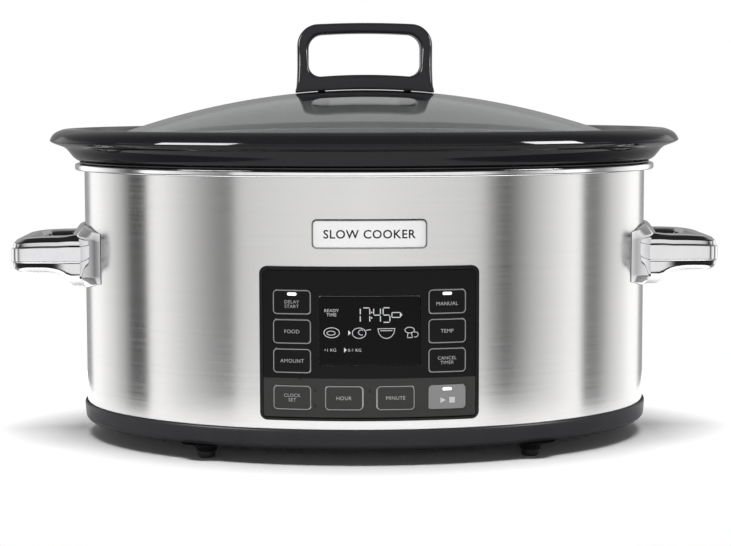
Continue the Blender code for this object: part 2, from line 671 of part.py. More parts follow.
def build_handles(gloss, zinc):
    build_side_handle("handle_left", -1, gloss)
    build_side_handle("handle_right", 1, gloss)
    length = 6.0 * MM
    head = 2.2 * MM
    for label, x, y, outward in handle_screw_places():
        seat = Vector((x, y, handle_middle())) - outward * (WRAP_THICKNESS + HANDLE_SCREW_CLEAR)
        profile = [(0.0, length), (HANDLE_SCREW_RADIUS, length), (HANDLE_SCREW_RADIUS, 0.0),
                   (HANDLE_SCREW_HEAD, 0.0), (HANDLE_SCREW_HEAD - 0.8 * MM, -head), (0.0, -head)]
        turn = outward.to_track_quat("Z", "Y").to_euler()
        turned(f"handle_screw_{label}", profile, seat, turn, zinc, steps=16)


# ---- control panel ------------------------------------------------------------------------
def key_places():
    """Names and centres of the ten keys, and whether each has a lamp."""
    rows = [KEY_TOP_Z - (KEY_HEIGHT + KEY_GAP) * index for index in range(3)]
    left = zip(("delay", "food", "amount"), rows, (True, False, False))
    right = zip(("manual", "temp", "cancel"), rows, (True, False, False))
    spread = [KEY_OUTER_X * (2 * index / 3 - 1) for index in range(4)]
    bottom = zip(("clock", "hour", "minute", "start"), spread, (False, False, False, True))
    places = [(name, -KEY_OUTER_X, z, lamp) for name, z, lamp in left]
    places += [(name, KEY_OUTER_X, z, lamp) for name, z, lamp in right]
    places += [(name, x, KEY_LOW_Z, lamp) for name, x, lamp in bottom]
    return places


def build_panel(gloss, face, key_finish, lamp_finish, glass, lcd_finish, board_finish, box_finish, silver):
    through_w = PANEL_WIDTH - 2 * (BEZEL_OVERLAP + GAP + SKIRT_WALL)
    through_h = PANEL_HEIGHT - 2 * (BEZEL_OVERLAP + GAP) - 2 * 1.6 * MM
    skirt_w = PANEL_WIDTH - 2 * (BEZEL_OVERLAP + GAP)
    skirt_h = PANEL_HEIGHT - 2 * (BEZEL_OVERLAP + GAP)
    pocket_w = PANEL_WIDTH - 2 * BEZEL_BORDER
    pocket_h = PANEL_HEIGHT - 2 * BEZEL_BORDER
    pocket_floor = PANEL_PROUD - FASCIA_THICKNESS - 2 * GAP
    bezel = piece("panel_bezel", curved_plate(PANEL_WIDTH, PANEL_HEIGHT, 0.0, PANEL_Z, GAP, PANEL_PROUD,
                                              PANEL_RADIUS), gloss)
    skirt_back = board_y() - 1.0 * MM
    join(bezel, curved_plate(skirt_w, skirt_h, 0.0, PANEL_Z, 0.0, (GAP + pocket_floor) / 2, PANEL_RADIUS,
                             flat_back=skirt_back), "bezel_skirt")
    cut(bezel, curved_plate(pocket_w, pocket_h, 0.0, PANEL_Z, pocket_floor, PANEL_PROUD + 4.0 * MM,
                            PANEL_RADIUS - BEZEL_BORDER), "bezel_pocket")
    cut(bezel, panel_prism(through_w, through_h, 0.0, PANEL_Z, 2.0 * MM), "bezel_opening")

    fascia_back = pocket_floor + GAP
    fascia_front = fascia_back + FASCIA_THICKNESS
    film = curved_plate(pocket_w - 2 * GAP, pocket_h - 2 * GAP, 0.0, PANEL_Z, fascia_back, fascia_front,
                        PANEL_RADIUS - BEZEL_BORDER - GAP)
    fascia = piece("panel_fascia", film, face)
    holes = [panel_prism(KEY_WIDTH + 2 * GAP, KEY_HEIGHT + 2 * GAP, x, z, KEY_RADIUS + GAP)
             for _, x, z, _ in key_places()]
    holes.append(panel_prism(WINDOW_WIDTH + 2 * GAP, WINDOW_HEIGHT + 2 * GAP, 0.0, WINDOW_Z, 1.5 * MM))
    cut(fascia, merged(*holes), "fascia_holes")

    key_front = fascia_front + KEY_PROUD
    key_back = fascia_back - 1.6 * MM
    switch_front = board_y() - SWITCH_HEIGHT
    for name, x, z, lamp in key_places():
        middle = (x, wall_y(x, key_front), z)
        cap = curved_plate(KEY_WIDTH, KEY_HEIGHT, x, z, key_back, key_front, KEY_RADIUS)
        key = add_object(f"key_{name}", cap, parts, middle)
        key.data.materials.append(key_finish)
        join(key, rod((x, wall_y(x, key_front - 1.0 * MM), z), (x, switch_front - KEY_TRAVEL - GAP, z),
                      PLUNGER_RADIUS, segments=12), f"plunger_{name}")
        if lamp:
            lamp_z = z + KEY_HEIGHT / 2 - LAMP_DROP
            slot = panel_prism(LAMP_WIDTH + 2 * GAP, LAMP_HEIGHT + 2 * GAP, x, lamp_z, 0.8 * MM,
                               back=CUT_HIGH_Y - 30.0 * MM)
            cut(key, slot, f"lamp_{name}")
            pill = curved_plate(LAMP_WIDTH, LAMP_HEIGHT, x, lamp_z, key_back, key_front, 0.8 * MM)
            piece(f"lamp_{name}", pill, lamp_finish, middle, key)

    window_back = fascia_back - 0.4 * MM
    window = curved_plate(WINDOW_WIDTH, WINDOW_HEIGHT, 0.0, WINDOW_Z, window_back, fascia_front, 1.2 * MM)
    piece("display_window", window, glass)
    lcd_front = wall_y(WINDOW_WIDTH / 2, window_back) + GAP
    lcd_w = WINDOW_WIDTH - 2.0 * MM
    lcd_h = WINDOW_HEIGHT - 2.0 * MM
    piece("lcd_module", rounded_block((-lcd_w / 2, lcd_front, WINDOW_Z - lcd_h / 2),
                                      (lcd_w / 2, board_y() - GAP, WINDOW_Z + lcd_h / 2)), lcd_finish)

    board_w = through_w - 1.0 * MM
    board_h = through_h - 1.0 * MM
    board_low = (-board_w / 2, board_y(), PANEL_Z - board_h / 2)
    board_high = (board_w / 2, board_y() + BOARD_THICKNESS, PANEL_Z + board_h / 2)
    board = piece("control_board", rounded_block(board_low, board_high), board_finish)
    half = 3.0 * MM
    switches = [rounded_block((x - half, switch_front, z - half), (x + half, board_y() + 0.5 * MM, z + half))
                for _, x, z, _ in key_places()]
    join(board, merged(*switches), "board_switches")

    box_front = skirt_back + GAP
    box_low = (-skirt_w / 2, box_front, PANEL_Z - skirt_h / 2)
    box_high = (skirt_w / 2, box_back_y(), PANEL_Z + skirt_h / 2)
    box = piece("control_box", rounded_block(box_low, box_high, 3.0 * MM), box_finish)
    cut(box, rounded_block((-through_w / 2, box_front - 0.01, PANEL_Z - through_h / 2),
                           (through_w / 2, box_back_y() - BOX_WALL, PANEL_Z + through_h / 2)), "box_inside")

    badge = curved_plate(BADGE_WIDTH, BADGE_HEIGHT, 0.0, BADGE_Z, GAP, GAP + BADGE_THICKNESS, 3.0 * MM)
    piece("badge_plate", badge, silver)


# ---- electrics under the well ---------------------------------------------------------------
def build_electrics(board_finish, dark, copper, white, zinc, rubber):
    floor = TRAY_BOTTOM + TRAY_FLOOR
    low_x = -COVER_HALF_X + POWER_BOARD_INSET
    length = -POWER_BOARD_END - low_x
    power = piece("power_board", rounded_block((low_x, -POWER_BOARD_DEPTH / 2, POWER_BOARD_Z),
                                               (-POWER_BOARD_END, POWER_BOARD_DEPTH / 2,
                                                POWER_BOARD_Z + BOARD_THICKNESS)), board_finish)
    posts = [rod((low_x + 6.0 * MM, y, floor + GAP), (low_x + 6.0 * MM, y, POWER_BOARD_Z + 0.5 * MM),
                 2.5 * MM) for y in (-17.0 * MM, 17.0 * MM)]
    join(power, merged(*posts), "board_posts")
    on_board = POWER_BOARD_Z + BOARD_THICKNESS + GAP
    low, high = (low_x + share * length for share in TRANSFORMER_SPAN)
    piece("transformer", rounded_block((low, -14.0 * MM, on_board), (high, 12.0 * MM, WELL_BOTTOM - 3.1 * MM),
                                       2.0 * MM, axis=2), dark)
    low, high = (low_x + share * length for share in RELAY_SPAN)
    piece("relay", rounded_block((low, -10.0 * MM, on_board), (high, 5.0 * MM, WELL_BOTTOM - 4.1 * MM)), white)
    fuse_y = 40.0 * MM
    fuse_z = WELL_BOTTOM - 4.5 * MM
    body = [(0.0, 9.0 * MM), (1.2 * MM, 8.6 * MM), (2.2 * MM, 6.0 * MM), (2.2 * MM, -6.0 * MM),
            (1.2 * MM, -8.6 * MM), (0.0, -9.0 * MM)]
    turned("thermal_fuse", body, (45.0 * MM, fuse_y, fuse_z), (0, math.radians(90), 0), copper, steps=16)
    probe = [(0.0, 0.0), (5.0 * MM, 0.0), (5.0 * MM, -2.7 * MM), (2.5 * MM, -4.7 * MM), (2.5 * MM, -8.7 * MM),
             (0.0, -8.7 * MM)]
    turned("sensor_probe", probe, (45.0 * MM, -35.0 * MM, WELL_BOTTOM - GAP), (0, 0, 0), zinc, steps=16)
    block_low = (GLAND_X - 14.0 * MM, COVER_HALF_Y + 4.0 * MM, floor + GAP)
    block_high = (GLAND_X + 14.0 * MM, COVER_HALF_Y + 18.0 * MM, floor + 12.0 * MM)
    piece("terminal_block", rounded_block(block_low, block_high), white)
    gland_y = -wall_y(GLAND_X, 0.0)
    flange = 2.0 * MM
    neck = GLAND_RADIUS - 1.5 * MM
    gland = [(GLAND_BORE, 3.0 * MM), (GLAND_BORE + 1.6 * MM, 3.0 * MM), (GLAND_RADIUS, 1.0 * MM),
             (GLAND_RADIUS, -flange), (neck, -flange), (neck, -10.0 * MM), (GLAND_BORE, -10.0 * MM),
             (GLAND_BORE, 3.0 * MM)]
    turned("cord_gland", gland, (GLAND_X, gland_y + GAP + flange, GLAND_Z), (math.radians(-90), 0, 0),
           rubber, steps=20)


# ---- bowl and lid ---------------------------------------------------------------------------
def lip(share_x, share_y, z):
    """A row of the bowl's lip; a share runs from 0 at its seat to 1 at its widest."""
    return (WALL_HALF_X + BOWL_SEAT + share_x * (BOWL_OVERHANG_X - BOWL_SEAT),
            WALL_HALF_Y + BOWL_SEAT + share_y * (BOWL_OVERHANG_Y - BOWL_SEAT), z)


def build_bowl(glaze):
    seat = BOWL_SEAT_Z
    outer = well_offset() - WELL_THICKNESS - BOWL_CLEARANCE
    inner = outer - BOWL_WALL
    rows = [
        wall(outer - 34.0 * MM, BOWL_BOTTOM),
        wall(outer - 19.0 * MM, BOWL_BOTTOM + 1.5 * MM),
        wall(outer - 7.0 * MM, BOWL_BOTTOM + 10.0 * MM),
        wall(outer - 1.5 * MM, BOWL_BOTTOM + 32.0 * MM),
        wall(outer, seat),
        lip(0.0, 0.0, seat),
        lip(0.25, 0.08, seat + 1.8 * MM),
        lip(0.52, 0.40, seat + 6.4 * MM),
        lip(0.89, 0.87, seat + 9.6 * MM),
        lip(1.0, 1.0, seat + 12.4 * MM),
        lip(0.85, 0.77, BOWL_CREST - 2.2 * MM),
        lip(0.52, 0.17, BOWL_CREST),
        lip(0.19, -0.33, BOWL_CREST - 0.7 * MM),
        (LID_HALF_X + 8.0 * MM, LID_HALF_Y + 4.5 * MM, LEDGE_Z + 3.0 * MM),
        (LID_HALF_X + 2.0 * MM, LID_HALF_Y + 2.0 * MM, LEDGE_Z),
        (LID_HALF_X - 8.0 * MM, LID_HALF_Y - 8.0 * MM, LEDGE_Z - 0.4 * MM),
        wall(inner, LEDGE_Z - 5.0 * MM),
        wall(inner - 1.5 * MM, BOWL_BOTTOM + 38.0 * MM),
        wall(inner - 7.0 * MM, BOWL_BOTTOM + 18.0 * MM),
        wall(inner - 18.0 * MM, BOWL_BOTTOM + 11.5 * MM),
        wall(inner - 32.0 * MM, BOWL_BOTTOM + 10.0 * MM),
    ]
    axis = axis_empty("bowl_axis", (0.0, 0.0, seat))
    piece("stoneware_bowl", oval_sweep(rows, closed=False), glaze, (0.0, 0.0, seat), axis)
    return axis


def dome_z(share):
    """Height of the lid's outer face; `share` runs from 0 at the middle to 1 at its edge."""
    return LID_EDGE_TOP + (LID_TOP - LID_EDGE_TOP) * (1.0 - share ** 2)


def lid_screw_places():
    return (("left", -LID_SCREW_X), ("right", LID_SCREW_X))


def build_lid(glass, gloss, rubber, steel, bowl_axis):
    edge_low = LEDGE_Z + GAP
    shares = (1.0, 0.9, 0.77, 0.6, 0.4, 0.2, 0.05)
    inside_x = LID_HALF_X - GLASS_THICKNESS
    inside_y = LID_HALF_Y - GLASS_THICKNESS
    rows = [(inside_x * share, inside_y * share, dome_z(share) - GLASS_THICKNESS)
            for share in reversed(shares[1:])]
    rows += [(inside_x, inside_y, edge_low), (LID_HALF_X, LID_HALF_Y, edge_low)]
    rows += [(LID_HALF_X * share, LID_HALF_Y * share, dome_z(share)) for share in shares]
    axis = axis_empty("lid_axis", (0.0, 0.0, LID_EDGE_TOP), bowl_axis)
    lid = piece("glass_lid", oval_sweep(rows, closed=False), glass, (0.0, 0.0, LID_EDGE_TOP), axis)
    bores = [rod((x, 0, LEDGE_Z), (x, 0, HANDLE_TOP), LID_SCREW_RADIUS + GAP) for _, x in lid_screw_places()]
    cut(lid, merged(*bores), "lid_bores")

    foot = HANDLE_HALF_X + 1.4 * MM
    base_z = [(x, dome_z(abs(x) / LID_HALF_X) + GAP) for x in
              [foot * (1 - index / 6) for index in range(13)]]
    shoulder = HANDLE_TOP - HANDLE_CROWN - HANDLE_CORNER
    shoulder_x = HANDLE_HALF_X - HANDLE_CORNER
    outer = [(-HANDLE_HALF_X, shoulder - 12.0 * MM)]
    outer += arc((-shoulder_x, shoulder), HANDLE_CORNER, 180, 95, 6)
    outer += [(0.0, HANDLE_TOP)]
    outer += arc((shoulder_x, shoulder), HANDLE_CORNER, 85, 0, 6)
    outer += [(HANDLE_HALF_X, shoulder - 12.0 * MM)]
    outer += base_z
    hole_x = OPENING_HALF_X - OPENING_CORNER
    hole_low = OPENING_BOTTOM + OPENING_CORNER
    hole_high = HANDLE_TOP - HANDLE_CROWN - HANDLE_BAR - OPENING_CORNER
    hole = arc((-hole_x, hole_low), OPENING_CORNER, 270, 180, 4)
    hole += arc((-hole_x, hole_high), OPENING_CORNER, 180, 90, 4)
    hole += [(0.0, hole_high + OPENING_CORNER + HANDLE_CROWN)]
    hole += arc((hole_x, hole_high), OPENING_CORNER, 90, 0, 4)
    hole += arc((hole_x, hole_low), OPENING_CORNER, 0, -90, 4)
    hole += [(0.0, OPENING_BOTTOM + 1.8 * MM)]
    handle = piece("lid_handle", outline_mesh([outer, hole], 2 * HANDLE_HALF_Y, XZ_PLANE), gloss,
                   (0.0, 0.0, LID_EDGE_TOP), axis)
    edge = handle.modifiers.new("soft edges", "BEVEL")
    edge.width = 1.8 * MM
    edge.segments = 2
    edge.limit_method = "ANGLE"
    edge.angle_limit = math.radians(50)
    pilots = [rod((x, 0, LEDGE_Z), (x, 0, OPENING_BOTTOM - 2.5 * MM), LID_SCREW_RADIUS + GAP)
              for _, x in lid_screw_places()]
    cut(handle, merged(*pilots), "handle_pilots")

    half = HANDLE_HALF_X - 1.0 * MM
    steps = [half * (1 - index / 6) for index in range(13)]
    under = GLASS_THICKNESS + PAD_CLEARANCE
    top_line = [(x, dome_z(abs(x) / LID_HALF_X) - under) for x in steps]
    low_line = [(x, z - PAD_THICKNESS) for x, z in reversed(top_line)]
    strip = outline_mesh([top_line + low_line], 2 * HANDLE_HALF_Y - 3.0 * MM, XZ_PLANE)
    pad = piece("lid_pad", strip, rubber, (0.0, 0.0, LID_EDGE_TOP), axis)
    bores = [rod((x, 0, LEDGE_Z), (x, 0, HANDLE_TOP), LID_SCREW_RADIUS + GAP) for _, x in lid_screw_places()]
    cut(pad, merged(*bores), "pad_bores")
    for name, x in lid_screw_places():
        seat = dome_z((abs(x) + LID_SCREW_HEAD) / LID_HALF_X) - under - PAD_THICKNESS - GAP
        top = OPENING_BOTTOM - 3.0 * MM - seat
        profile = [(0.0, top), (LID_SCREW_RADIUS, top), (LID_SCREW_RADIUS, 0.0), (LID_SCREW_HEAD, 0.0),
                   (LID_SCREW_HEAD, -3.2 * MM), (LID_SCREW_HEAD - 1.2 * MM, -4.4 * MM), (0.0, -4.6 * MM)]
        attach(turned(f"lid_screw_{name}", profile, (x, 0.0, seat), (0, 0, 0), steel, steps=20), axis)


def main():
    global parts, cutters
    clear_scene()
    parts = new_collection("slow_cooker")
    cutters = new_collection("slow_cooker_cutters")
    steel = finish_of("brushed steel", (0.62, 0.61, 0.60), 0.32, 1.0)
    ring_steel = finish_of("polished steel", (0.80, 0.80, 0.80), 0.15, 1.0)
    black = finish_of("black satin plastic", (0.018, 0.018, 0.019), 0.45)
    gloss = finish_of("black gloss plastic", (0.010, 0.010, 0.011), 0.12)
    plated = finish_of("dark plated plastic", (0.30, 0.30, 0.31), 0.15, 1.0)
    face = finish_of("panel film", (0.016, 0.016, 0.016), 0.30)
    key_finish = finish_of("key caps", (0.020, 0.020, 0.020), 0.35)
    lamp_finish = finish_of("lamp lens", (0.90, 0.90, 0.88), 0.30)
    window_finish = finish_of("smoked window", (0.010, 0.010, 0.012), 0.08)
    lcd_finish = finish_of("display", (0.030, 0.035, 0.040), 0.40)
    board_finish = finish_of("circuit board", (0.02, 0.16, 0.07), 0.50)
    silver = finish_of("badge silver", (0.85, 0.85, 0.85), 0.25, 1.0)
    rubber = finish_of("black rubber", (0.012, 0.012, 0.012), 0.80)
    zinc = finish_of("zinc plate", (0.62, 0.62, 0.60), 0.35, 1.0)
    galvanised = finish_of("galvanised sheet", (0.58, 0.60, 0.61), 0.45, 1.0)
    enamel = finish_of("well paint", (0.05, 0.05, 0.05), 0.40, 0.2)
    mica = finish_of("heater wrap", (0.72, 0.68, 0.55), 0.90)
    aluminium = finish_of("bright aluminium", (0.80, 0.80, 0.80), 0.30, 1.0)
    copper = finish_of("copper", (0.72, 0.40, 0.24), 0.35, 1.0)
    white = finish_of("white plastic", (0.80, 0.79, 0.75), 0.50)
    glaze = finish_of("black glaze", (0.006, 0.006, 0.007), 0.06)
    glass = finish_of("lid glass", (0.92, 0.95, 0.94), 0.02, clear=1.0)

    build_tray(black, rubber, zinc, galvanised)
    build_wrap(steel, ring_steel)
    build_well(enamel, mica, aluminium, galvanised, zinc)
    build_handles(plated, zinc)
    build_panel(gloss, face, key_finish, lamp_finish, window_finish, lcd_finish, board_finish, black, silver)
    build_electrics(board_finish, black, copper, white, zinc, rubber)
    bowl_axis = build_bowl(glaze)
    build_lid(glass, gloss, rubber, zinc, bowl_axis)


main()
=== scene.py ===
"""Looks of an oval slow cooker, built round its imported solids.

Metres, +Z up, the control panel faces -Y. Every new piece is a surface worked out on a grid of two
parameters: a profile carried round an oval, a plate bent to the front wall, a turned shape or a frame
between two outlines.
"""

from __future__ import annotations

import json
import logging
import math
from dataclasses import dataclass
from enum import Enum
from typing import Sequence

import bmesh
import bpy
import numpy as np
from mathutils import Matrix, Vector


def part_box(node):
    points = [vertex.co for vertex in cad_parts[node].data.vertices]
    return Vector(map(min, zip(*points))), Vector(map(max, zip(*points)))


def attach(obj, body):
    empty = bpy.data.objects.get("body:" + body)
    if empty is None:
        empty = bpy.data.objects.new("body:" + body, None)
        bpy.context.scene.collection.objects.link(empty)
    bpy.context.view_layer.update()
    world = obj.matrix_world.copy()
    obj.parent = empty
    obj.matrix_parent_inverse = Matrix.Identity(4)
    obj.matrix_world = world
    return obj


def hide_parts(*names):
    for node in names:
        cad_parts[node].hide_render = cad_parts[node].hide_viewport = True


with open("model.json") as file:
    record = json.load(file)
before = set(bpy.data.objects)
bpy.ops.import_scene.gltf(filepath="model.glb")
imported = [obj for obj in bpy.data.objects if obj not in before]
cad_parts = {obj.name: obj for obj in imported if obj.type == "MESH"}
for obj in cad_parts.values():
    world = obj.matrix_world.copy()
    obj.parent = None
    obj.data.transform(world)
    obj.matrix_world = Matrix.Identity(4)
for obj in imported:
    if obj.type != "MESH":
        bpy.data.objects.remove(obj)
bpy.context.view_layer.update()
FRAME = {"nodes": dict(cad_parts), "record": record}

MM = 0.001
OVAL_COLUMNS = 256
KEYS = ("delay", "food", "amount", "manual", "temp", "cancel", "clock", "hour", "minute", "start")
LAMP_KEYS = ("delay", "manual", "start")
FEET = ("front_left", "front_right", "rear_left", "rear_right")

Array = np.ndarray
Shell = tuple[Array, Array]
Colour = tuple[float, float, float]

log = logging.getLogger("slow_cooker")


class Body(Enum):
    """The moving bodies that pieces ride on."""

    HOUSING = "housing"
    BOWL = "bowl"
    LID = "lid"


# ---- grids ----------------------------------------------------------------------------------
def mm(*values: float) -> Array:
    """Millimetres as an array of metres."""
    return np.array(values, float) * MM


def eased(points: Array, reach: float, steps: int = 5, closed: bool = False) -> Array:
    """Round the corners of a line of points.

    A corner P between its neighbours becomes the curve (1-t)^2 A + 2t(1-t) P + t^2 B, where A and B lie
    `reach` before and after P, and never past 45% of a leg.

    Args:
        points: One point a row, in any number of dimensions.
        reach: How far the rounding reaches along each leg, in metres.
        steps: Points on each rounded corner.
        closed: Whether the last point joins the first.

    Returns:
        The rounded line.
    """
    if closed:
        before, at, after = np.roll(points, 1, axis=0), points, np.roll(points, -1, axis=0)
    else:
        before, at, after = points[:-2], points[1:-1], points[2:]

    def pulled(neighbour: Array) -> Array:
        leg = neighbour - at
        length = np.maximum(np.linalg.norm(leg, axis=1, keepdims=True), 1e-9)
        return at + leg * np.minimum(reach / length, 0.45)

    t = np.linspace(0.0, 1.0, steps)[:, None, None]
    curve = (1 - t) ** 2 * pulled(before) + 2 * t * (1 - t) * at + t ** 2 * pulled(after)
    body = curve.transpose(1, 0, 2).reshape(-1, points.shape[1])
    return body if closed else np.vstack([points[:1], body, points[-1:]])


def shell(grid: Array, around: bool = True, along: bool = False) -> Shell:
    """Quads over a grid of points.

    Args:
        grid: Points of shape (rows, columns, 3).
        around: Join the last column to the first.
        along: Join the last row to the first.

    Returns:
        The points in one list, and four indices a face.
    """
    rows, columns = grid.shape[:2]
    row = np.arange(rows if along else rows - 1)[:, None]
    column = np.arange(columns if around else columns - 1)[None, :]
    next_row = (row + 1) % rows
    next_column = (column + 1) % columns
    corners = (row * columns + column, row * columns + next_column,
               next_row * columns + next_column, next_row * columns + column)
    return grid.reshape(-1, 3), np.stack(np.broadcast_arrays(*corners), -1).reshape(-1, 4)


def poled(grid: Array, first: bool = True, last: bool = True) -> Array:
    """Close a grid with a row drawn together at the middle of its first and last ring.

    Args:
        grid: Rings of points, of shape (rows, columns, 3).
        first: Whether the first ring is closed.
        last: Whether the last ring is closed.

    Returns:
        The grid with its poles.
    """
    rows = [grid]
    if first:
        rows.insert(0, np.broadcast_to(grid[0].mean(axis=0), grid[:1].shape))
    if last:
        rows.append(np.broadcast_to(grid[-1].mean(axis=0), grid[:1].shape))
    return np.concatenate(rows)


def turned(profile: Array, centre: Vector, columns: int = 48) -> Shell:
    """A turned shape: P(h, t) = centre + (r cos t, r sin t, h) for each (r, h) of the profile.

    Args:
        profile: Rows of radius and height, in metres.
        centre: Where the axis stands.
        columns: Points round the axis.

    Returns:
        The points and faces, closed at both ends.
    """
    angle = np.linspace(0.0, 2 * math.pi, columns, endpoint=False)
    radius, height = profile[:, :1], profile[:, 1:2]
    grid = np.stack([centre.x + radius * np.cos(angle), centre.y + radius * np.sin(angle),
                     centre.z + height + 0.0 * angle], -1)
    return shell(poled(grid))


def rounded_outline(width: float, height: float, radii: Sequence[float], straight: int = 12,
                    bend: int = 5) -> Array:
    """A rounded rectangle about the origin, from one corner's middle round to itself.

    Each side is half a corner, a straight and half a corner: P = C(s) + r (cos a, sin a), where C runs from
    one corner's centre to the next while the angle a stands still, and a turns while C stands still.

    Args:
        width: Size along the first axis.
        height: Size along the second axis.
        radii: Corner radii, low left first and then counter-clockwise.
        straight: Points on each straight.
        bend: Points on each half corner.

    Returns:
        Points of shape (4 * (straight + 2 * bend), 2), counter-clockwise.
    """
    signs = np.array([(-1, -1), (1, -1), (1, 1), (-1, 1)], float)
    reach = np.array(radii, float)[:, None]
    centres = signs * (np.array([width, height]) / 2 - reach)
    half = np.linspace(-math.pi / 4, 0.0, bend, endpoint=False)
    travel = np.linspace(0.0, 1.0, straight)
    turn = np.concatenate([half, np.zeros(straight), -half[::-1]])
    share = np.concatenate([np.zeros(bend), travel, np.ones(bend)])
    base = (np.arange(4) - 1) * math.pi / 2
    angle = base[:, None] + turn
    start, end = centres[:, None, :], np.roll(centres, -1, axis=0)[:, None, :]
    radius = reach + (np.roll(reach, -1, axis=0) - reach) * share
    middle = start + (end - start) * share[None, :, None]
    points = middle + radius[..., None] * np.stack([np.cos(angle), np.sin(angle)], -1)
    return points.reshape(-1, 2)


@dataclass(frozen=True)
class Wall:
    """The oval steel wall that the other pieces follow.

    Attributes:
        half_x: Outside of the wall, half its length.
        half_y: Outside of the wall, half its depth.
    """

    half_x: float
    half_y: float

    def front(self, x: Array, z: Array, offset: Array | float) -> Array:
        """Points on the front: (x, -(b + o) sqrt(1 - (x / (a + o))^2), z), at offset o from the wall."""
        share = np.clip(1.0 - (x / (self.half_x + offset)) ** 2, 0.0, 1.0)
        return np.stack(np.broadcast_arrays(x, -(self.half_y + offset) * np.sqrt(share), z), -1)

    def band(self, rows: Array, columns: int = OVAL_COLUMNS) -> Array:
        """A profile carried round the oval: ((a + o) cos t, (b + o) sin t, z) for rows of (o, z)."""
        wide = np.column_stack([self.half_x + rows[:, 0], self.half_y + rows[:, 0], rows[:, 1]])
        return oval(wide, columns)


def oval(rows: Array, columns: int = OVAL_COLUMNS) -> Array:
    """Rings of (half length, half depth, height): P(k, t) = (A_k cos t, B_k sin t, z_k).

    Args:
        rows: Half length, half depth and height of each ring.
        columns: Points round the oval.

    Returns:
        Points of shape (rows, columns, 3).
    """
    angle = np.linspace(0.0, 2 * math.pi, columns, endpoint=False)
    return np.stack([rows[:, :1] * np.cos(angle), rows[:, 1:2] * np.sin(angle),
                     rows[:, 2:3] + 0.0 * angle], -1)


def make_piece(name: str, shells: Sequence[Shell], finish: Finish, body: str,
               replaces: Sequence[str] = (), sharp: float = 40.0, closed: bool = True) -> bpy.types.Object:
    """Put surfaces into one mesh object, dress it and let it ride.

    Args:
        name: The piece's name.
        shells: Points and faces of each surface.
        finish: What it is made of.
        body: The body it rides on.
        replaces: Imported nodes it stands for.
        sharp: Edges that turn more than this many degrees stay crisp.
        closed: Whether the surfaces close, so that their outside can be worked out.

    Returns:
        The object, at the origin.
    """
    starts = np.cumsum([0] + [len(points) for points, _ in shells[:-1]])
    points = np.concatenate([points for points, _ in shells])
    faces = np.concatenate([faces + start for (_, faces), start in zip(shells, starts)])
    mesh = bpy.data.meshes.new(name)
    mesh.from_pydata(points.tolist(), [], faces.tolist())
    bm = bmesh.new()
    bm.from_mesh(mesh)
    bmesh.ops.remove_doubles(bm, verts=bm.verts, dist=1e-6)
    if closed:
        bmesh.ops.recalc_face_normals(bm, faces=bm.faces)
    bm.to_mesh(mesh)
    bm.free()
    mesh.shade_smooth()
    mesh.set_sharp_from_angle(angle=math.radians(sharp))
    item = bpy.data.objects.new(name, mesh)
    bpy.context.scene.collection.objects.link(item)
    return dressed(item, finish, body, replaces)


def dressed(item: bpy.types.Object, finish: Finish, body: str, replaces: Sequence[str]) -> bpy.types.Object:
    """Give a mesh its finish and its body.

    Args:
        item: The mesh object.
        finish: What it is made of.
        body: The body it rides on.
        replaces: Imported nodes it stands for, if any.

    Returns:
        The same object.
    """
    item.data.materials.clear()
    item.data.materials.append(finish.material())
    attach(item, body)
    if replaces:
        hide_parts(*replaces)
    log.info("%s: %d faces on %s", item.name, len(item.data.polygons), body)
    return item


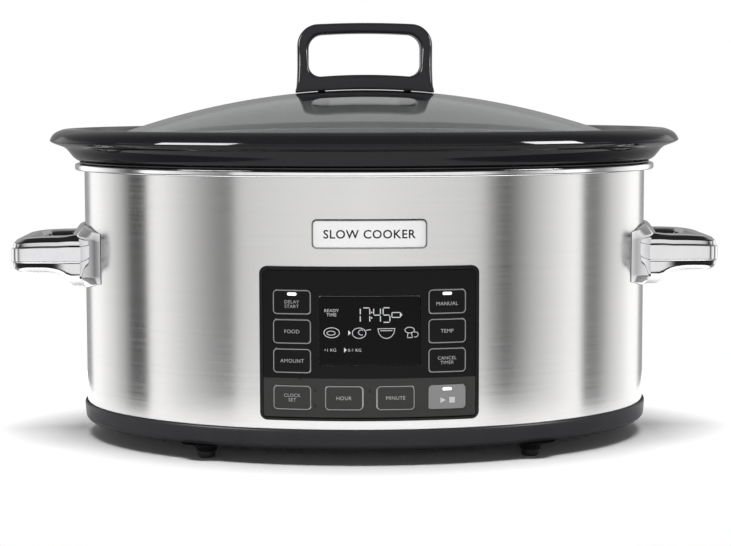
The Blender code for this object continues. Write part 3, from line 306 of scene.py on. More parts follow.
# ---- finishes -------------------------------------------------------------------------------
class Nodes:
    """A short hand for a material's node tree, whose patterns all read object coordinates."""

    def __init__(self, name: str) -> None:
        """Start a material named `name`.

        Args:
            name: The material's name.
        """
        self.material = bpy.data.materials.new(name)
        self.material.use_nodes = True
        self.tree = self.material.node_tree
        self.shader = self.tree.nodes["Principled BSDF"]
        self.place = self.tree.nodes.new("ShaderNodeTexCoord").outputs["Object"]

    def link(self, source: bpy.types.NodeSocket, target: bpy.types.NodeSocket) -> None:
        """Join two sockets."""
        self.tree.links.new(source, target)

    def set(self, **values: float | tuple) -> None:
        """Set the shader's own sockets; an underscore stands for a space."""
        for key, value in values.items():
            self.shader.inputs[key.replace("_", " ")].default_value = value

    def noise(self, scale: tuple[float, float, float], detail: float = 3.0,
              roughness: float = 0.6) -> bpy.types.NodeSocket:
        """Noise whose grain is stretched by a scale for each axis.

        Args:
            scale: Features a metre, for each axis.
            detail: How many finer layers are added.
            roughness: How strong the finer layers are.

        Returns:
            The noise's value, about 0.3 to 0.7.
        """
        spread = self.tree.nodes.new("ShaderNodeMapping")
        spread.inputs["Scale"].default_value = scale
        self.link(self.place, spread.inputs["Vector"])
        node = self.tree.nodes.new("ShaderNodeTexNoise")
        node.inputs["Scale"].default_value = 1.0
        node.inputs["Detail"].default_value = detail
        node.inputs["Roughness"].default_value = roughness
        self.link(spread.outputs["Vector"], node.inputs["Vector"])
        return node.outputs["Fac"]

    def ranged(self, source: bpy.types.NodeSocket, low: float, high: float, start: float = 0.3,
               end: float = 0.7) -> bpy.types.NodeSocket:
        """Carry values from start..end over to low..high.

        Args:
            source: The value.
            low: What `start` becomes.
            high: What `end` becomes.
            start: Low end of the source.
            end: High end of the source.

        Returns:
            The new value, held within low..high.
        """
        node = self.tree.nodes.new("ShaderNodeMapRange")
        for key, value in (("From Min", start), ("From Max", end), ("To Min", low), ("To Max", high)):
            node.inputs[key].default_value = value
        self.link(source, node.inputs["Value"])
        return node.outputs["Result"]

    def mixed(self, share: bpy.types.NodeSocket, first: Colour | bpy.types.NodeSocket,
              second: Colour) -> bpy.types.NodeSocket:
        """Mix two colours by a share.

        Args:
            share: How much of the second colour there is, 0 to 1.
            first: The first colour, or a socket that gives it.
            second: The second colour.

        Returns:
            The mixed colour.
        """
        node = self.tree.nodes.new("ShaderNodeMix")
        node.data_type = "RGBA"
        if isinstance(first, tuple):
            node.inputs["A"].default_value = (*first, 1.0)
        else:
            self.link(first, node.inputs["A"])
        node.inputs["B"].default_value = (*second, 1.0)
        self.link(share, node.inputs["Factor"])
        return node.outputs["Result"]

    def height(self) -> bpy.types.NodeSocket:
        """The height on the object, in metres.

        Returns:
            The socket that gives it.
        """
        node = self.tree.nodes.new("ShaderNodeSeparateXYZ")
        self.link(self.place, node.inputs["Vector"])
        return node.outputs["Z"]

    def bump(self, source: bpy.types.NodeSocket, strength: float, depth: float) -> None:
        """Raise the surface.

        Args:
            source: Height, 0 to 1.
            strength: Share of the relief that is used.
            depth: Height of the relief at 1, in metres.
        """
        node = self.tree.nodes.new("ShaderNodeBump")
        node.inputs["Strength"].default_value = strength
        node.inputs["Distance"].default_value = depth
        self.link(source, node.inputs["Height"])
        self.link(node.outputs["Normal"], self.shader.inputs["Normal"])


_made: dict[str, bpy.types.Material] = {}


@dataclass(frozen=True)
class Finish:
    """What a piece is made of.

    Attributes:
        slot: The record's material slot.
        colour: Base colour.
        roughness: Mean roughness.
    """

    slot: str
    colour: Colour
    roughness: float

    def material(self) -> bpy.types.Material:
        """The finish's material, made once.

        Returns:
            The material, the same one at every call.
        """
        key = f"{type(self).__name__}_{self.slot}_{self.colour[0]:.3f}"
        if key not in _made:
            nodes = Nodes(key)
            nodes.set(Base_Color=(*self.colour, 1.0), Roughness=self.roughness)
            self.dress(nodes)
            _made[key] = nodes.material
        return _made[key]

    def dress(self, nodes: Nodes) -> None:
        """Add the pattern; each kind of finish has its own.

        Args:
            nodes: The material that takes the pattern.
        """
        raise NotImplementedError


@dataclass(frozen=True)
class BrushedSteel(Finish):
    """Steel sheet brushed along the wall, so its lines run level."""

    def dress(self, nodes: Nodes) -> None:
        """Long level streaks in colour, roughness and height, and a glow drawn out upright.

        Args:
            nodes: The material that takes the pattern.
        """
        fine = nodes.noise((9.0, 9.0, 4200.0), detail=2.0)
        broad = nodes.noise((4.0, 4.0, 700.0), detail=3.0)
        worn = nodes.mixed(nodes.ranged(broad, 0.0, 0.5), self.colour, tuple(0.94 * c for c in self.colour))
        nodes.link(nodes.mixed(nodes.ranged(fine, 0.0, 0.45), worn, tuple(1.06 * c for c in self.colour)),
                   nodes.shader.inputs["Base Color"])
        nodes.link(nodes.ranged(fine, self.roughness - 0.04, self.roughness + 0.06),
                   nodes.shader.inputs["Roughness"])
        nodes.set(Metallic=1.0, Anisotropic=0.45, Anisotropic_Rotation=0.25)
        tangent = nodes.tree.nodes.new("ShaderNodeTangent")
        tangent.direction_type = "RADIAL"
        tangent.axis = "Z"
        nodes.link(tangent.outputs["Tangent"], nodes.shader.inputs["Tangent"])
        nodes.bump(fine, 0.05, 0.02 * MM)


@dataclass(frozen=True)
class BrightMetal(Finish):
    """Polished, plated or bare metal with faint handling marks."""

    grain: float = 90.0

    def dress(self, nodes: Nodes) -> None:
        """Cloudy wear in the roughness and a trace of it in the colour.

        Args:
            nodes: The material that takes the pattern.
        """
        cloud = nodes.noise((self.grain,) * 3, detail=4.0)
        nodes.link(nodes.ranged(cloud, self.roughness * 0.7, self.roughness * 1.5),
                   nodes.shader.inputs["Roughness"])
        nodes.link(nodes.mixed(nodes.ranged(cloud, 0.0, 0.35), self.colour,
                               tuple(0.82 * c for c in self.colour)), nodes.shader.inputs["Base Color"])
        nodes.set(Metallic=1.0)


@dataclass(frozen=True)
class Moulded(Finish):
    """Moulded plastic or rubber with a fine spark-eroded grain."""

    grain: float = 1400.0
    relief: float = 0.25
    coat: float = 0.0
    shine: float = 0.5

    def dress(self, nodes: Nodes) -> None:
        """A fine grain in height, and slow drifts of gloss and colour.

        Args:
            nodes: The material that takes the pattern.
        """
        grain = nodes.noise((self.grain,) * 3, detail=2.0)
        drift = nodes.noise((35.0,) * 3, detail=3.0)
        nodes.link(nodes.ranged(drift, self.roughness * 0.88, self.roughness * 1.12),
                   nodes.shader.inputs["Roughness"])
        lighter = tuple(1.25 * c + 0.001 for c in self.colour)
        nodes.link(nodes.mixed(nodes.ranged(drift, 0.0, 0.4), self.colour, lighter),
                   nodes.shader.inputs["Base Color"])
        nodes.set(Coat_Weight=self.coat, Coat_Roughness=0.06, Specular_IOR_Level=self.shine)
        nodes.bump(grain, self.relief, 0.03 * MM)


@dataclass(frozen=True)
class Glaze(Finish):
    """Deep black glaze, slightly uneven where it pooled."""

    def dress(self, nodes: Nodes) -> None:
        """Slow waves in the glaze and a few fine specks.

        Args:
            nodes: The material that takes the pattern.
        """
        wave = nodes.noise((28.0, 28.0, 40.0), detail=2.0)
        speck = nodes.noise((900.0,) * 3, detail=1.0)
        nodes.link(nodes.mixed(nodes.ranged(speck, 0.0, 0.5, 0.70, 0.82), self.colour, (0.012, 0.012, 0.011)),
                   nodes.shader.inputs["Base Color"])
        nodes.link(nodes.ranged(wave, self.roughness * 0.6, self.roughness * 1.5),
                   nodes.shader.inputs["Roughness"])
        nodes.set(Specular_IOR_Level=0.16)
        nodes.bump(wave, 0.12, 0.15 * MM)


@dataclass(frozen=True)
class ClearGlass(Finish):
    """Tempered glass with a slight tint and the faintest waviness."""

    def dress(self, nodes: Nodes) -> None:
        """Clear all through, with a slow wave in its face.

        Args:
            nodes: The material that takes the pattern.
        """
        wave = nodes.noise((14.0,) * 3, detail=1.0)
        nodes.set(Transmission_Weight=1.0, IOR=1.5)
        darker = tuple(0.97 * c for c in self.colour)
        nodes.link(nodes.mixed(nodes.ranged(wave, 0.0, 0.3), self.colour, darker),
                   nodes.shader.inputs["Base Color"])
        nodes.bump(wave, 0.05, 0.2 * MM)


@dataclass(frozen=True)
class PanelFilm(Finish):
    """Printed film, black above and grey below a level line.

    Attributes:
        lower: Colour below the line.
        line: Height of the line, in metres.
    """

    lower: Colour = (0.05, 0.05, 0.05)
    line: float = 0.0529

    def dress(self, nodes: Nodes) -> None:
        """Two printed colours with a fine matt grain.

        Args:
            nodes: The material that takes the pattern.
        """
        above = nodes.ranged(nodes.height(), 0.0, 1.0, self.line - 0.1 * MM, self.line + 0.1 * MM)
        nodes.link(nodes.mixed(above, self.lower, self.colour), nodes.shader.inputs["Base Color"])
        grain = nodes.noise((1800.0,) * 3, detail=1.0)
        nodes.link(nodes.ranged(grain, self.roughness * 0.9, self.roughness * 1.15),
                   nodes.shader.inputs["Roughness"])
        nodes.set(Specular_IOR_Level=0.06)
        nodes.bump(grain, 0.08, 0.01 * MM)


@dataclass(frozen=True)
class Print(Finish):
    """Printed or lit marks; on printed ink, which is no lamp, the glow is a painted glow.

    Attributes:
        glow: Strength of the light the mark gives off: the own light of the lamps and the display, and a
            painted glow on printed ink.
    """

    glow: float = 0.0

    def dress(self, nodes: Nodes) -> None:
        """Ink that is a little thinner in places.

        Args:
            nodes: The material that takes the pattern.
        """
        thin = nodes.noise((1500.0,) * 3, detail=1.0)
        inked = nodes.mixed(nodes.ranged(thin, 0.0, 0.35), self.colour, tuple(0.8 * c for c in self.colour))
        nodes.link(inked, nodes.shader.inputs["Base Color"])
        # The emission is real light for the lamp lens and the display, and a painted glow on the key inks.
        nodes.set(Emission_Color=(*self.colour, 1.0), Emission_Strength=self.glow, Specular_IOR_Level=0.1)


@dataclass(frozen=True)
class Woven(Finish):
    """Woven glass sleeve."""

    def dress(self, nodes: Nodes) -> None:
        """A plain weave: two sets of waves, in colour and height.

        Args:
            nodes: The material that takes the pattern.
        """
        wave = nodes.tree.nodes.new("ShaderNodeTexWave")
        wave.bands_direction = "Z"
        wave.inputs["Scale"].default_value = 260.0
        nodes.link(nodes.place, wave.inputs["Vector"])
        fleck = nodes.noise((500.0,) * 3)
        darker = tuple(0.7 * c for c in self.colour)
        nodes.link(nodes.mixed(nodes.ranged(fleck, 0.0, 0.7), self.colour, darker),
                   nodes.shader.inputs["Base Color"])
        nodes.bump(wave.outputs["Fac"], 0.6, 0.3 * MM)


STEEL = BrushedSteel("steel_wrap", (0.62, 0.615, 0.61), 0.17)
RING_STEEL = BrightMetal("polished_ring", (0.82, 0.82, 0.82), 0.12)
CHROME = BrightMetal("plated_handle", (0.70, 0.70, 0.71), 0.05)
SKIRT_PLASTIC = Moulded("base_plastic", (0.008, 0.008, 0.009), 0.30, relief=0.15, shine=0.05)
BEZEL_PLASTIC = Moulded("bezel_gloss", (0.004, 0.004, 0.0045), 0.15, grain=400.0, relief=0.02, shine=0.2)
HANDLE_PLASTIC = Moulded("handle_gloss", (0.005, 0.005, 0.0055), 0.12, grain=500.0, relief=0.02, shine=0.12)
FOOT_RUBBER = Moulded("foot_rubber", (0.010, 0.010, 0.010), 0.7)
PAD_RUBBER = Moulded("pad_rubber", (0.016, 0.015, 0.015), 0.6)
GLAND_RUBBER = Moulded("gland_rubber", (0.013, 0.013, 0.013), 0.65)
CAP_PLASTIC = Moulded("lid_fastener", (0.018, 0.018, 0.019), 0.25, relief=0.08)
WELL_PAINT = Moulded("well_enamel", (0.045, 0.045, 0.047), 0.38, grain=700.0, relief=0.3)
GLAZED = Glaze("black_glaze", (0.0035, 0.0035, 0.004), 0.05)
LID_GLASS = ClearGlass("lid_glass", (0.80, 0.82, 0.82), 0.01)
FILM = PanelFilm("panel_film", (0.0105, 0.0105, 0.0105), 0.42, lower=(0.048, 0.047, 0.046))
KEY_FILM = PanelFilm("key_cap", (0.0105, 0.0105, 0.0105), 0.42, lower=(0.048, 0.047, 0.046))
START_FILM = PanelFilm("key_cap", (0.26, 0.26, 0.26), 0.42, lower=(0.26, 0.26, 0.26))
SMOKED = Moulded("smoked_window", (0.0032, 0.0032, 0.0036), 0.25, grain=300.0, relief=0.01, shine=0.08)
LENS = Print("lamp_lens", (0.95, 0.95, 0.93), 0.30, glow=0.9)
# The three key inks below carry a small emission: a painted glow that brightens the printed edge, words and
# marks.
OUTLINE_INK_PAINTED_GLOW = Print("key_cap", (0.30, 0.30, 0.30), 0.45, glow=0.03)
LEGEND_INK_PAINTED_GLOW = Print("key_cap", (0.50, 0.50, 0.50), 0.45, glow=0.10)
MARK_INK_PAINTED_GLOW = Print("key_cap", (0.62, 0.62, 0.62), 0.45, glow=0.05)
SEGMENT_LIGHT = Print("smoked_window", (0.55, 0.56, 0.57), 0.40, glow=0.42)
BADGE_FACE = BrightMetal("badge_metal", (0.92, 0.92, 0.92), 0.30, grain=4000.0)
BADGE_EDGE = BrightMetal("badge_metal", (0.26, 0.26, 0.26), 0.22, grain=200.0)
BADGE_INK = Print("badge_metal", (0.010, 0.010, 0.011), 0.40)


# ---- panel pieces ---------------------------------------------------------------------------
@dataclass(frozen=True)
class Plate:
    """A rounded plate bent to the front wall.

    Attributes:
        x: Middle, along the panel.
        z: Middle, in height.
        width: Size along the panel.
        height: Size in height.
        radius: Corner radius.
    """

    x: float
    z: float
    width: float
    height: float
    radius: float

    @staticmethod
    def over(node: str, radius: float, spare: float = 0.0) -> Plate:
        """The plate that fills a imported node's front.

        Args:
            node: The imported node.
            radius: Corner radius.
            spare: How much smaller it is all round.

        Returns:
            The plate.
        """
        low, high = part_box(node)
        return Plate((low.x + high.x) / 2, (low.z + high.z) / 2, high.x - low.x - 2 * spare,
                     high.z - low.z - 2 * spare, radius)

    def outline(self, inset: float, straight: int = 14) -> Array:
        """The plate's edge.

        Args:
            inset: How far it is drawn in.
            straight: Points on each straight.

        Returns:
            The edge as rows of (x, z).
        """
        radius = max(self.radius - inset, 0.05 * MM)
        flat = rounded_outline(self.width - 2 * inset, self.height - 2 * inset, (radius,) * 4, straight)
        return flat + np.array([self.x, self.z])

    def rings(self, wall: Wall, rows: Sequence[tuple[float, float]], straight: int = 14) -> Array:
        """Rings of the edge on the wall: row (i, o) is the edge drawn in by i, at offset o."""
        return np.stack([wall.front(edge[:, 0], edge[:, 1], offset)
                         for edge, offset in ((self.outline(inset, straight), out) for inset, out in rows)])

    def solid(self, wall: Wall, back: float, front: float, bevel: float, fill: int = 10) -> Shell:
        """A plate from offset `back` to `front` with a rounded front edge.

        The face is filled by P(s, t) = M + s (edge(t) - M) about the plate's middle M, then bent.

        Args:
            wall: The wall.
            back: Offset of the back.
            front: Offset of the face.
            bevel: Radius of the front edge.
            fill: Rings that fill the face.

        Returns:
            The points and faces.
        """
        turn = np.linspace(0.0, math.pi / 2, 4)
        edge = [(bevel * (1 - math.cos(a)), front - bevel * (1 - math.sin(a))) for a in turn]
        side = self.rings(wall, [(0.0, back), *edge])
        inner = self.outline(bevel)
        middle = np.array([self.x, self.z])
        shares = np.linspace(1.0, 0.0, fill + 1)[1:, None, None]
        face = middle + shares * (inner - middle)
        return shell(np.concatenate([side[:1].mean(axis=1, keepdims=True) + 0.0 * side[:1], side,
                                     wall.front(face[..., 0], face[..., 1], front)]))

    def strip(self, wall: Wall, width: float, front: float, rise: float, straight: int = 14) -> Shell:
        """A thin printed line of a width round the edge, `rise` proud of offset `front`."""
        rows = [(0.0, front - rise), (0.0, front + rise), (width, front + rise), (width, front - rise)]
        return shell(self.rings(wall, rows, straight), along=True)


def ribbon(line: Array, width: float, closed: bool = False) -> Array:
    """A flat stroke of even width along a line of (u, v): P = L +- w/2 N, with N square to the line.

    Args:
        line: Points of the line.
        width: Of the stroke.
        closed: Whether the line joins its own start.

    Returns:
        The stroke's left and right edge.
    """
    if closed:
        along = np.roll(line, -1, axis=0) - np.roll(line, 1, axis=0)
    else:
        along = np.gradient(line, axis=0)
    along /= np.maximum(np.linalg.norm(along, axis=1, keepdims=True), 1e-12)
    square = np.column_stack([-along[:, 1], along[:, 0]]) * width / 2
    return np.stack([line - square, line + square])


def inked(wall: Wall, strokes: Array, offset: float, closed: bool = False, rise: float = 0.03 * MM) -> Shell:
    """Lay a stroke's two edges on the front wall, as a thin raised line of ink.

    Args:
        wall: The wall.
        strokes: The stroke's two edges, as (x, z).
        offset: Offset of the surface that is printed.
        closed: Whether the stroke joins its own start.
        rise: Half the thickness of the ink.

    Returns:
        The points and faces.
    """
    left, right = strokes
    rows = [wall.front(edge[:, 0], edge[:, 1], offset + out)
            for edge, out in ((left, -rise), (left, rise), (right, rise), (right, -rise))]
    return shell(np.stack(rows, axis=1), around=True, along=closed)


def ellipse(x: float, z: float, half_x: float, half_z: float, start: float = 0.0, end: float = 360.0,
            count: int = 24) -> Array:
    """Points on an ellipse in millimetres, as metres: (x + a cos t, z + b sin t)."""
    angle = np.radians(np.linspace(start, end, count, endpoint=end - start < 360.0))
    return np.column_stack([x + half_x * np.cos(angle), z + half_z * np.sin(angle)]) * MM


def line_of(*points: tuple[float, float]) -> Array:
    """A line through points given in millimetres, with two more points on each leg.

    Args:
        points: Each corner, in millimetres.

    Returns:
        The line as rows of (x, z), in metres.
    """
    ends = mm(*[value for point in points for value in point]).reshape(-1, 2)
    share = np.linspace(0.0, 1.0, 4)[:-1, None]
    legs = ends[:-1, None, :] + share * (ends[1:, None, :] - ends[:-1, None, :])
    return np.vstack([legs.reshape(-1, 2), ends[-1:]])


def lettering(name: str, text: str, size: float, wall: Wall, x: float, z: float, offset: float,
              finish: Finish, body: str, spacing: float = 1.0, swell: float = 0.0) -> bpy.types.Object:
    """Printed words on the wall: each point (u, v) of the flat text goes to wall.front(x + u, z + v).

    Args:
        name: The piece's name.
        text: The words, which may take two lines.
        size: Height of a capital, in metres.
        wall: The wall it lies on.
        x: Middle of the text.
        z: Middle of the text.
        offset: Offset of the surface that is printed.
        finish: The ink.
        body: The body it rides on.
        spacing: Spread of the letters.
        swell: How much the strokes are thickened, in metres.

    Returns:
        The text as a mesh.
    """
    capital = 0.70
    curve = bpy.data.curves.new(name, "FONT")
    curve.body = text
    curve.size = size / capital
    curve.align_x = "CENTER"
    curve.align_y = "CENTER"
    curve.space_character = spacing
    curve.space_line = 0.95
    curve.offset = swell
    curve.extrude = 0.03 * MM
    curve.resolution_u = 3
    guide = bpy.data.objects.new(name + "_guide", curve)
    bpy.context.scene.collection.objects.link(guide)
    mesh = bpy.data.meshes.new_from_object(guide.evaluated_get(bpy.context.evaluated_depsgraph_get()))
    bpy.data.objects.remove(guide)
    mesh.name = name
    flat = np.empty(len(mesh.vertices) * 3)
    mesh.vertices.foreach_get("co", flat)
    flat = flat.reshape(-1, 3)
    middle = (flat.min(axis=0) + flat.max(axis=0)) / 2
    bent = wall.front(x + flat[:, 0] - middle[0], z + flat[:, 1] - middle[1], offset + flat[:, 2])
    mesh.vertices.foreach_set("co", bent.ravel())
    item = bpy.data.objects.new(name, mesh)
    bpy.context.scene.collection.objects.link(item)
    return dressed(item, finish, body, ())


@dataclass
class ControlPanel:
    """The control panel: bezel, film, window, keys, lamps and badge.

    Attributes:
        wall: The wall it follows.
        border: Width of the bezel.
        proud: Front of the bezel, out from the wall.
        film_front: Front of the film.
        film_back: Back of the film.
        key_front: Front of the keys.
        key_back: Back of the keys, far enough out to stay off the wall when pressed.
        gap: Play round a key.
        key_radius: Corner radius of a key.
    """

    wall: Wall
    border: float = 2.0 * MM
    proud: float = 2.0 * MM
    film_front: float = 1.7 * MM
    film_back: float = 0.9 * MM
    key_front: float = 2.0 * MM
    key_back: float = 0.9 * MM
    gap: float = 0.3 * MM
    key_radius: float = 2.4 * MM

    def build(self) -> None:
        """Make and dress every piece of the panel."""
        self.build_bezel()
        self.build_film()
        self.build_keys()
        self.build_display()
        self.build_badge()

    def build_bezel(self) -> None:
        """A frame whose profile of (inset, offset) is carried round the panel's edge."""
        plate = Plate.over("panel_bezel", 4.5 * MM)
        back, ledge = 0.3 * MM, 0.6 * MM
        lap = self.border + 1.4 * MM
        corners = np.array([(0.0, back), (0.0, self.proud), (self.border, self.proud), (self.border, ledge),
                            (lap, ledge), (lap, back)])
        profile = eased(corners, 0.5 * MM, 4)
        rings = plate.rings(self.wall, [tuple(row) for row in profile], 24)
        make_piece("control_bezel", [shell(rings, along=True)], BEZEL_PLASTIC, Body.HOUSING.value,
                   ["panel_bezel"])

    def cell(self, hole: Plate, low: tuple[float, float], high: tuple[float, float]) -> Shell:
        """Film round one hole: P(s, t) = (1 - s) cell edge(t) + s hole edge(t), then down the hole's wall.

        Args:
            hole: The plate that comes through the film.
            low: Lower left corner of the cell.
            high: Upper right corner of the cell.

        Returns:
            The points and faces.
        """
        frame = Plate((low[0] + high[0]) / 2, (low[1] + high[1]) / 2, high[0] - low[0], high[1] - low[1], 0.0)
        outer, inner = frame.outline(0.0, 20), hole.outline(0.0, 20)
        share = np.linspace(0.0, 1.0, 5)[:, None, None]
        face = outer + share * (inner - outer)
        top = self.wall.front(face[..., 0], face[..., 1], self.film_front)
        under = self.wall.front(face[::-1, :, 0], face[::-1, :, 1], self.film_back)
        return shell(np.concatenate([top, under]), along=True)

    def build_film(self) -> None:
        """The film in cells, one for each key and one for the window, that share their edges."""
        low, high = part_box("panel_fascia")
        keys = {name: Plate.over(f"key_{name}", self.key_radius + self.gap, -self.gap) for name in KEYS}
        window = Plate.over("display_window", 1.5 * MM, -self.gap)
        left = keys["food"].x + keys["food"].width / 2 + 2.0 * MM
        shelf = (keys["amount"].z + keys["clock"].z) / 2
        cuts = [low.z, shelf, (keys["food"].z + keys["amount"].z) / 2,
                (keys["delay"].z + keys["food"].z) / 2, high.z]
        cells = []
        for column, side in ((("clock", "amount", "food", "delay"), (low.x, left)),
                             (("start", "cancel", "temp", "manual"), (-left, high.x))):
            for index, name in enumerate(column):
                cells.append(self.cell(keys[name], (side[0], cuts[index]), (side[1], cuts[index + 1])))
        cells.append(self.cell(window, (left, shelf), (-left, high.z)))
        cells.append(self.cell(keys["hour"], (left, low.z), (0.0, shelf)))
        cells.append(self.cell(keys["minute"], (0.0, low.z), (-left, shelf)))
        make_piece("control_film", cells, FILM, Body.HOUSING.value, ["panel_fascia"])

    def build_keys(self) -> None:
        """Key caps with their printed edge and words, which carry a painted glow, and lamps."""
        words = {"delay": "DELAY\nSTART", "food": "FOOD", "amount": "AMOUNT", "manual": "MANUAL",
                 "temp": "TEMP", "cancel": "CANCEL\nTIMER", "clock": "CLOCK\nSET", "hour": "HOUR",
                 "minute": "MINUTE"}
        for name in KEYS:
            body = f"key_{name}"
            plate = Plate.over(body, self.key_radius)
            finish = START_FILM if name == "start" else KEY_FILM
            make_piece(f"cap_{name}", [plate.solid(self.wall, self.key_back, self.key_front, 0.25 * MM)],
                       finish, body, [body])
            if name == "start":
                self.build_start_marks(plate, body)
            else:
                make_piece(f"edge_{name}", [plate.strip(self.wall, 0.55 * MM, self.key_front, 0.04 * MM)],
                           OUTLINE_INK_PAINTED_GLOW, body)
                drop = 1.2 * MM if name in LAMP_KEYS else 0.0
                size = (2.0 if "\n" in words[name] else 2.2) * MM
                lettering(f"words_{name}", words[name], size, self.wall, plate.x, plate.z - drop,
                          self.key_front, LEGEND_INK_PAINTED_GLOW, body, 1.05, -0.03 * MM)
            if name in LAMP_KEYS:
                lens = Plate.over(f"lamp_{name}", 0.85 * MM)
                make_piece(f"lens_{name}", [lens.solid(self.wall, self.key_back, self.key_front + 0.12 * MM,
                                                       0.2 * MM, 4)], LENS, body, [f"lamp_{name}"])

    def build_start_marks(self, plate: Plate, body: str) -> None:
        """A play triangle and a stop square side by side.

        Args:
            plate: The key's plate.
            body: The body of the key.
        """
        left, right = plate.x - 4.0 * MM, plate.x + 3.0 * MM
        low = plate.z - 1.9 * MM
        side = np.linspace(-1.0, 1.0, 7)
        half = 1.7 * MM
        point = np.stack([np.column_stack([left + 0.0 * side, low + half * side]),
                          np.column_stack([left + 3.2 * MM + 0.0 * side, low + 0.02 * half * side])])
        square = np.stack([np.column_stack([right - half + 0.0 * side, low + half * side]),
                           np.column_stack([right + half + 0.0 * side, low + half * side])])
        shells = [inked(self.wall, strokes, self.key_front) for strokes in (point, square)]
        make_piece("start_marks", shells, MARK_INK_PAINTED_GLOW, body)

    def build_display(self) -> None:
        """The smoked window, with the lit digits, pictures and words of the display."""
        window = Plate.over("display_window", 1.2 * MM)
        make_piece("smoked_pane", [window.solid(self.wall, 0.5 * MM, self.film_front, 0.2 * MM)], SMOKED,
                   Body.HOUSING.value, ["display_window"])
        self.build_digits(window)
        self.build_pictures(window)
        left = window.x - window.width / 2
        for name, text, x, z, size in (("words_ready", "READY\nTIME", 7.5, 11.0, 1.9),
                                       ("words_small", "+1 KG", 6.5, -11.2, 1.8),
                                       ("words_large", "0-1 KG", 21.0, -11.2, 1.8)):
            lettering(name, text, size * MM, self.wall, left + x * MM, window.z + z * MM, self.film_front,
                      SEGMENT_LIGHT, Body.HOUSING.value, 1.05, -0.03 * MM)

    def build_digits(self, window: Plate) -> None:
        """Seven-segment digits: each segment is a short bar with pointed ends.

        Args:
            window: The display's plate.
        """
        lit = {"1": "bc", "7": "abc", "4": "bcfg", "5": "acdfg"}
        half_w, half_h, thick = 2.0, 4.3, 0.52
        bars = {"a": ((-1, 1), (1, 1)), "b": ((1, 1), (1, 0)), "c": ((1, 0), (1, -1)),
                "d": ((-1, -1), (1, -1)), "e": ((-1, 0), (-1, -1)), "f": ((-1, 1), (-1, 0)),
                "g": ((-1, 0), (1, 0))}
        middle = np.array([window.x / MM, window.z / MM])
        shells = []
        for digit, x in zip("1745", (-7.6, -2.0, 4.3, 9.9)):
            for bar in lit[digit]:
                ends = np.array(bars[bar], float) * (half_w, half_h)
                inward = 0.12 * (ends[::-1] - ends) * (2 if abs(ends[0, 0] - ends[1, 0]) < 1e-6 else 1) / 2
                line = line_of(*[tuple(p) for p in ends + inward + middle + (x, 9.6)])
                shells.append(inked(self.wall, ribbon(line, thick * MM), self.film_front))
        for z in (8.0, 11.2):
            shells.append(inked(self.wall, ribbon(line_of((middle[0] + 1.1, middle[1] + z - 0.4),
                                                          (middle[0] + 1.1, middle[1] + z + 0.4)), 0.7 * MM),
                                self.film_front))
        cell = rounded_outline(5.0 * MM, 2.9 * MM, (0.5 * MM,) * 4, 6, 2)
        cell = cell + mm(15.6, 9.6) + [window.x, window.z]
        shells.append(inked(self.wall, ribbon(cell, 0.45 * MM, True), self.film_front, True))
        shells.append(inked(self.wall, ribbon(line_of((middle[0] + 18.7, middle[1] + 8.9),
                                                      (middle[0] + 18.7, middle[1] + 10.3)), 0.6 * MM),
                            self.film_front))
        make_piece("display_digits", shells, SEGMENT_LIGHT, Body.HOUSING.value)

    def build_pictures(self, window: Plate) -> None:
        """Plain line pictures of a steak, a roast bird, a bowl and vegetables, and two pointers.

        Args:
            window: The display's plate.
        """
        x0, z0 = window.x / MM, window.z / MM - 0.9
        closed = [ellipse(x0 - 22.5, z0, 4.6, 3.0), ellipse(x0 - 22.9, z0 - 0.2, 2.5, 1.2),
                  ellipse(x0 - 6.3, z0 - 0.2, 4.0, 3.1), ellipse(x0 + 23.6, z0 + 1.4, 2.8, 1.7)]
        opened = [ellipse(x0 - 5.0, z0 + 0.2, 1.7, 1.5, 60, 300),
                  ellipse(x0 + 9.8, z0 + 2.2, 4.9, 5.6, 180, 360),
                  line_of((x0 - 2.3, z0 + 1.5), (x0 + 0.6, z0 + 1.9)),
                  line_of((x0 + 4.6, z0 + 2.4), (x0 + 15.0, z0 + 2.4)),
                  line_of((x0 + 6.2, z0 + 1.2), (x0 + 13.4, z0 + 1.2)),
                  line_of((x0 + 22.6, z0 - 0.3), (x0 + 22.2, z0 - 3.1), (x0 + 25.2, z0 - 3.1),
                          (x0 + 24.7, z0 - 0.3)),
                  ellipse(x0 + 27.0, z0 - 1.3, 1.6, 1.5, -120, 120)]
        shells = [inked(self.wall, ribbon(line, 0.34 * MM, True), self.film_front, True) for line in closed]
        shells += [inked(self.wall, ribbon(line, 0.34 * MM), self.film_front) for line in opened]
        for x, z in ((x0 - 12.7, z0), (x0 - 15.2, z0 - 10.3)):
            side = np.linspace(-1.0, 1.0, 5)
            pointer = np.stack([np.column_stack([x + 0.0 * side, z + 1.5 * side]),
                                np.column_stack([x + 1.5 + 0.0 * side, z + 0.05 * side])]) * MM
            shells.append(inked(self.wall, pointer, self.film_front))
        make_piece("display_pictures", shells, SEGMENT_LIGHT, Body.HOUSING.value)

    def build_badge(self) -> None:
        """A plain badge: a dark rounded edge, a bright face and plain words for what the thing is."""
        edge = Plate.over("badge_plate", 3.0 * MM)
        face = Plate(edge.x, edge.z, edge.width - 2.0 * MM, edge.height - 2.0 * MM, 2.2 * MM)
        make_piece("badge_rim", [edge.solid(self.wall, 0.3 * MM, 1.65 * MM, 0.7 * MM)], BADGE_EDGE,
                   Body.HOUSING.value, ["badge_plate"])
        make_piece("badge_face", [face.solid(self.wall, 1.2 * MM, 1.75 * MM, 0.12 * MM)], BADGE_FACE,
                   Body.HOUSING.value)
        lettering("badge_words", "SLOW COOKER", 5.0 * MM, self.wall, edge.x, edge.z, 1.75 * MM, BADGE_INK,
                  Body.HOUSING.value, 1.08, 0.10 * MM)


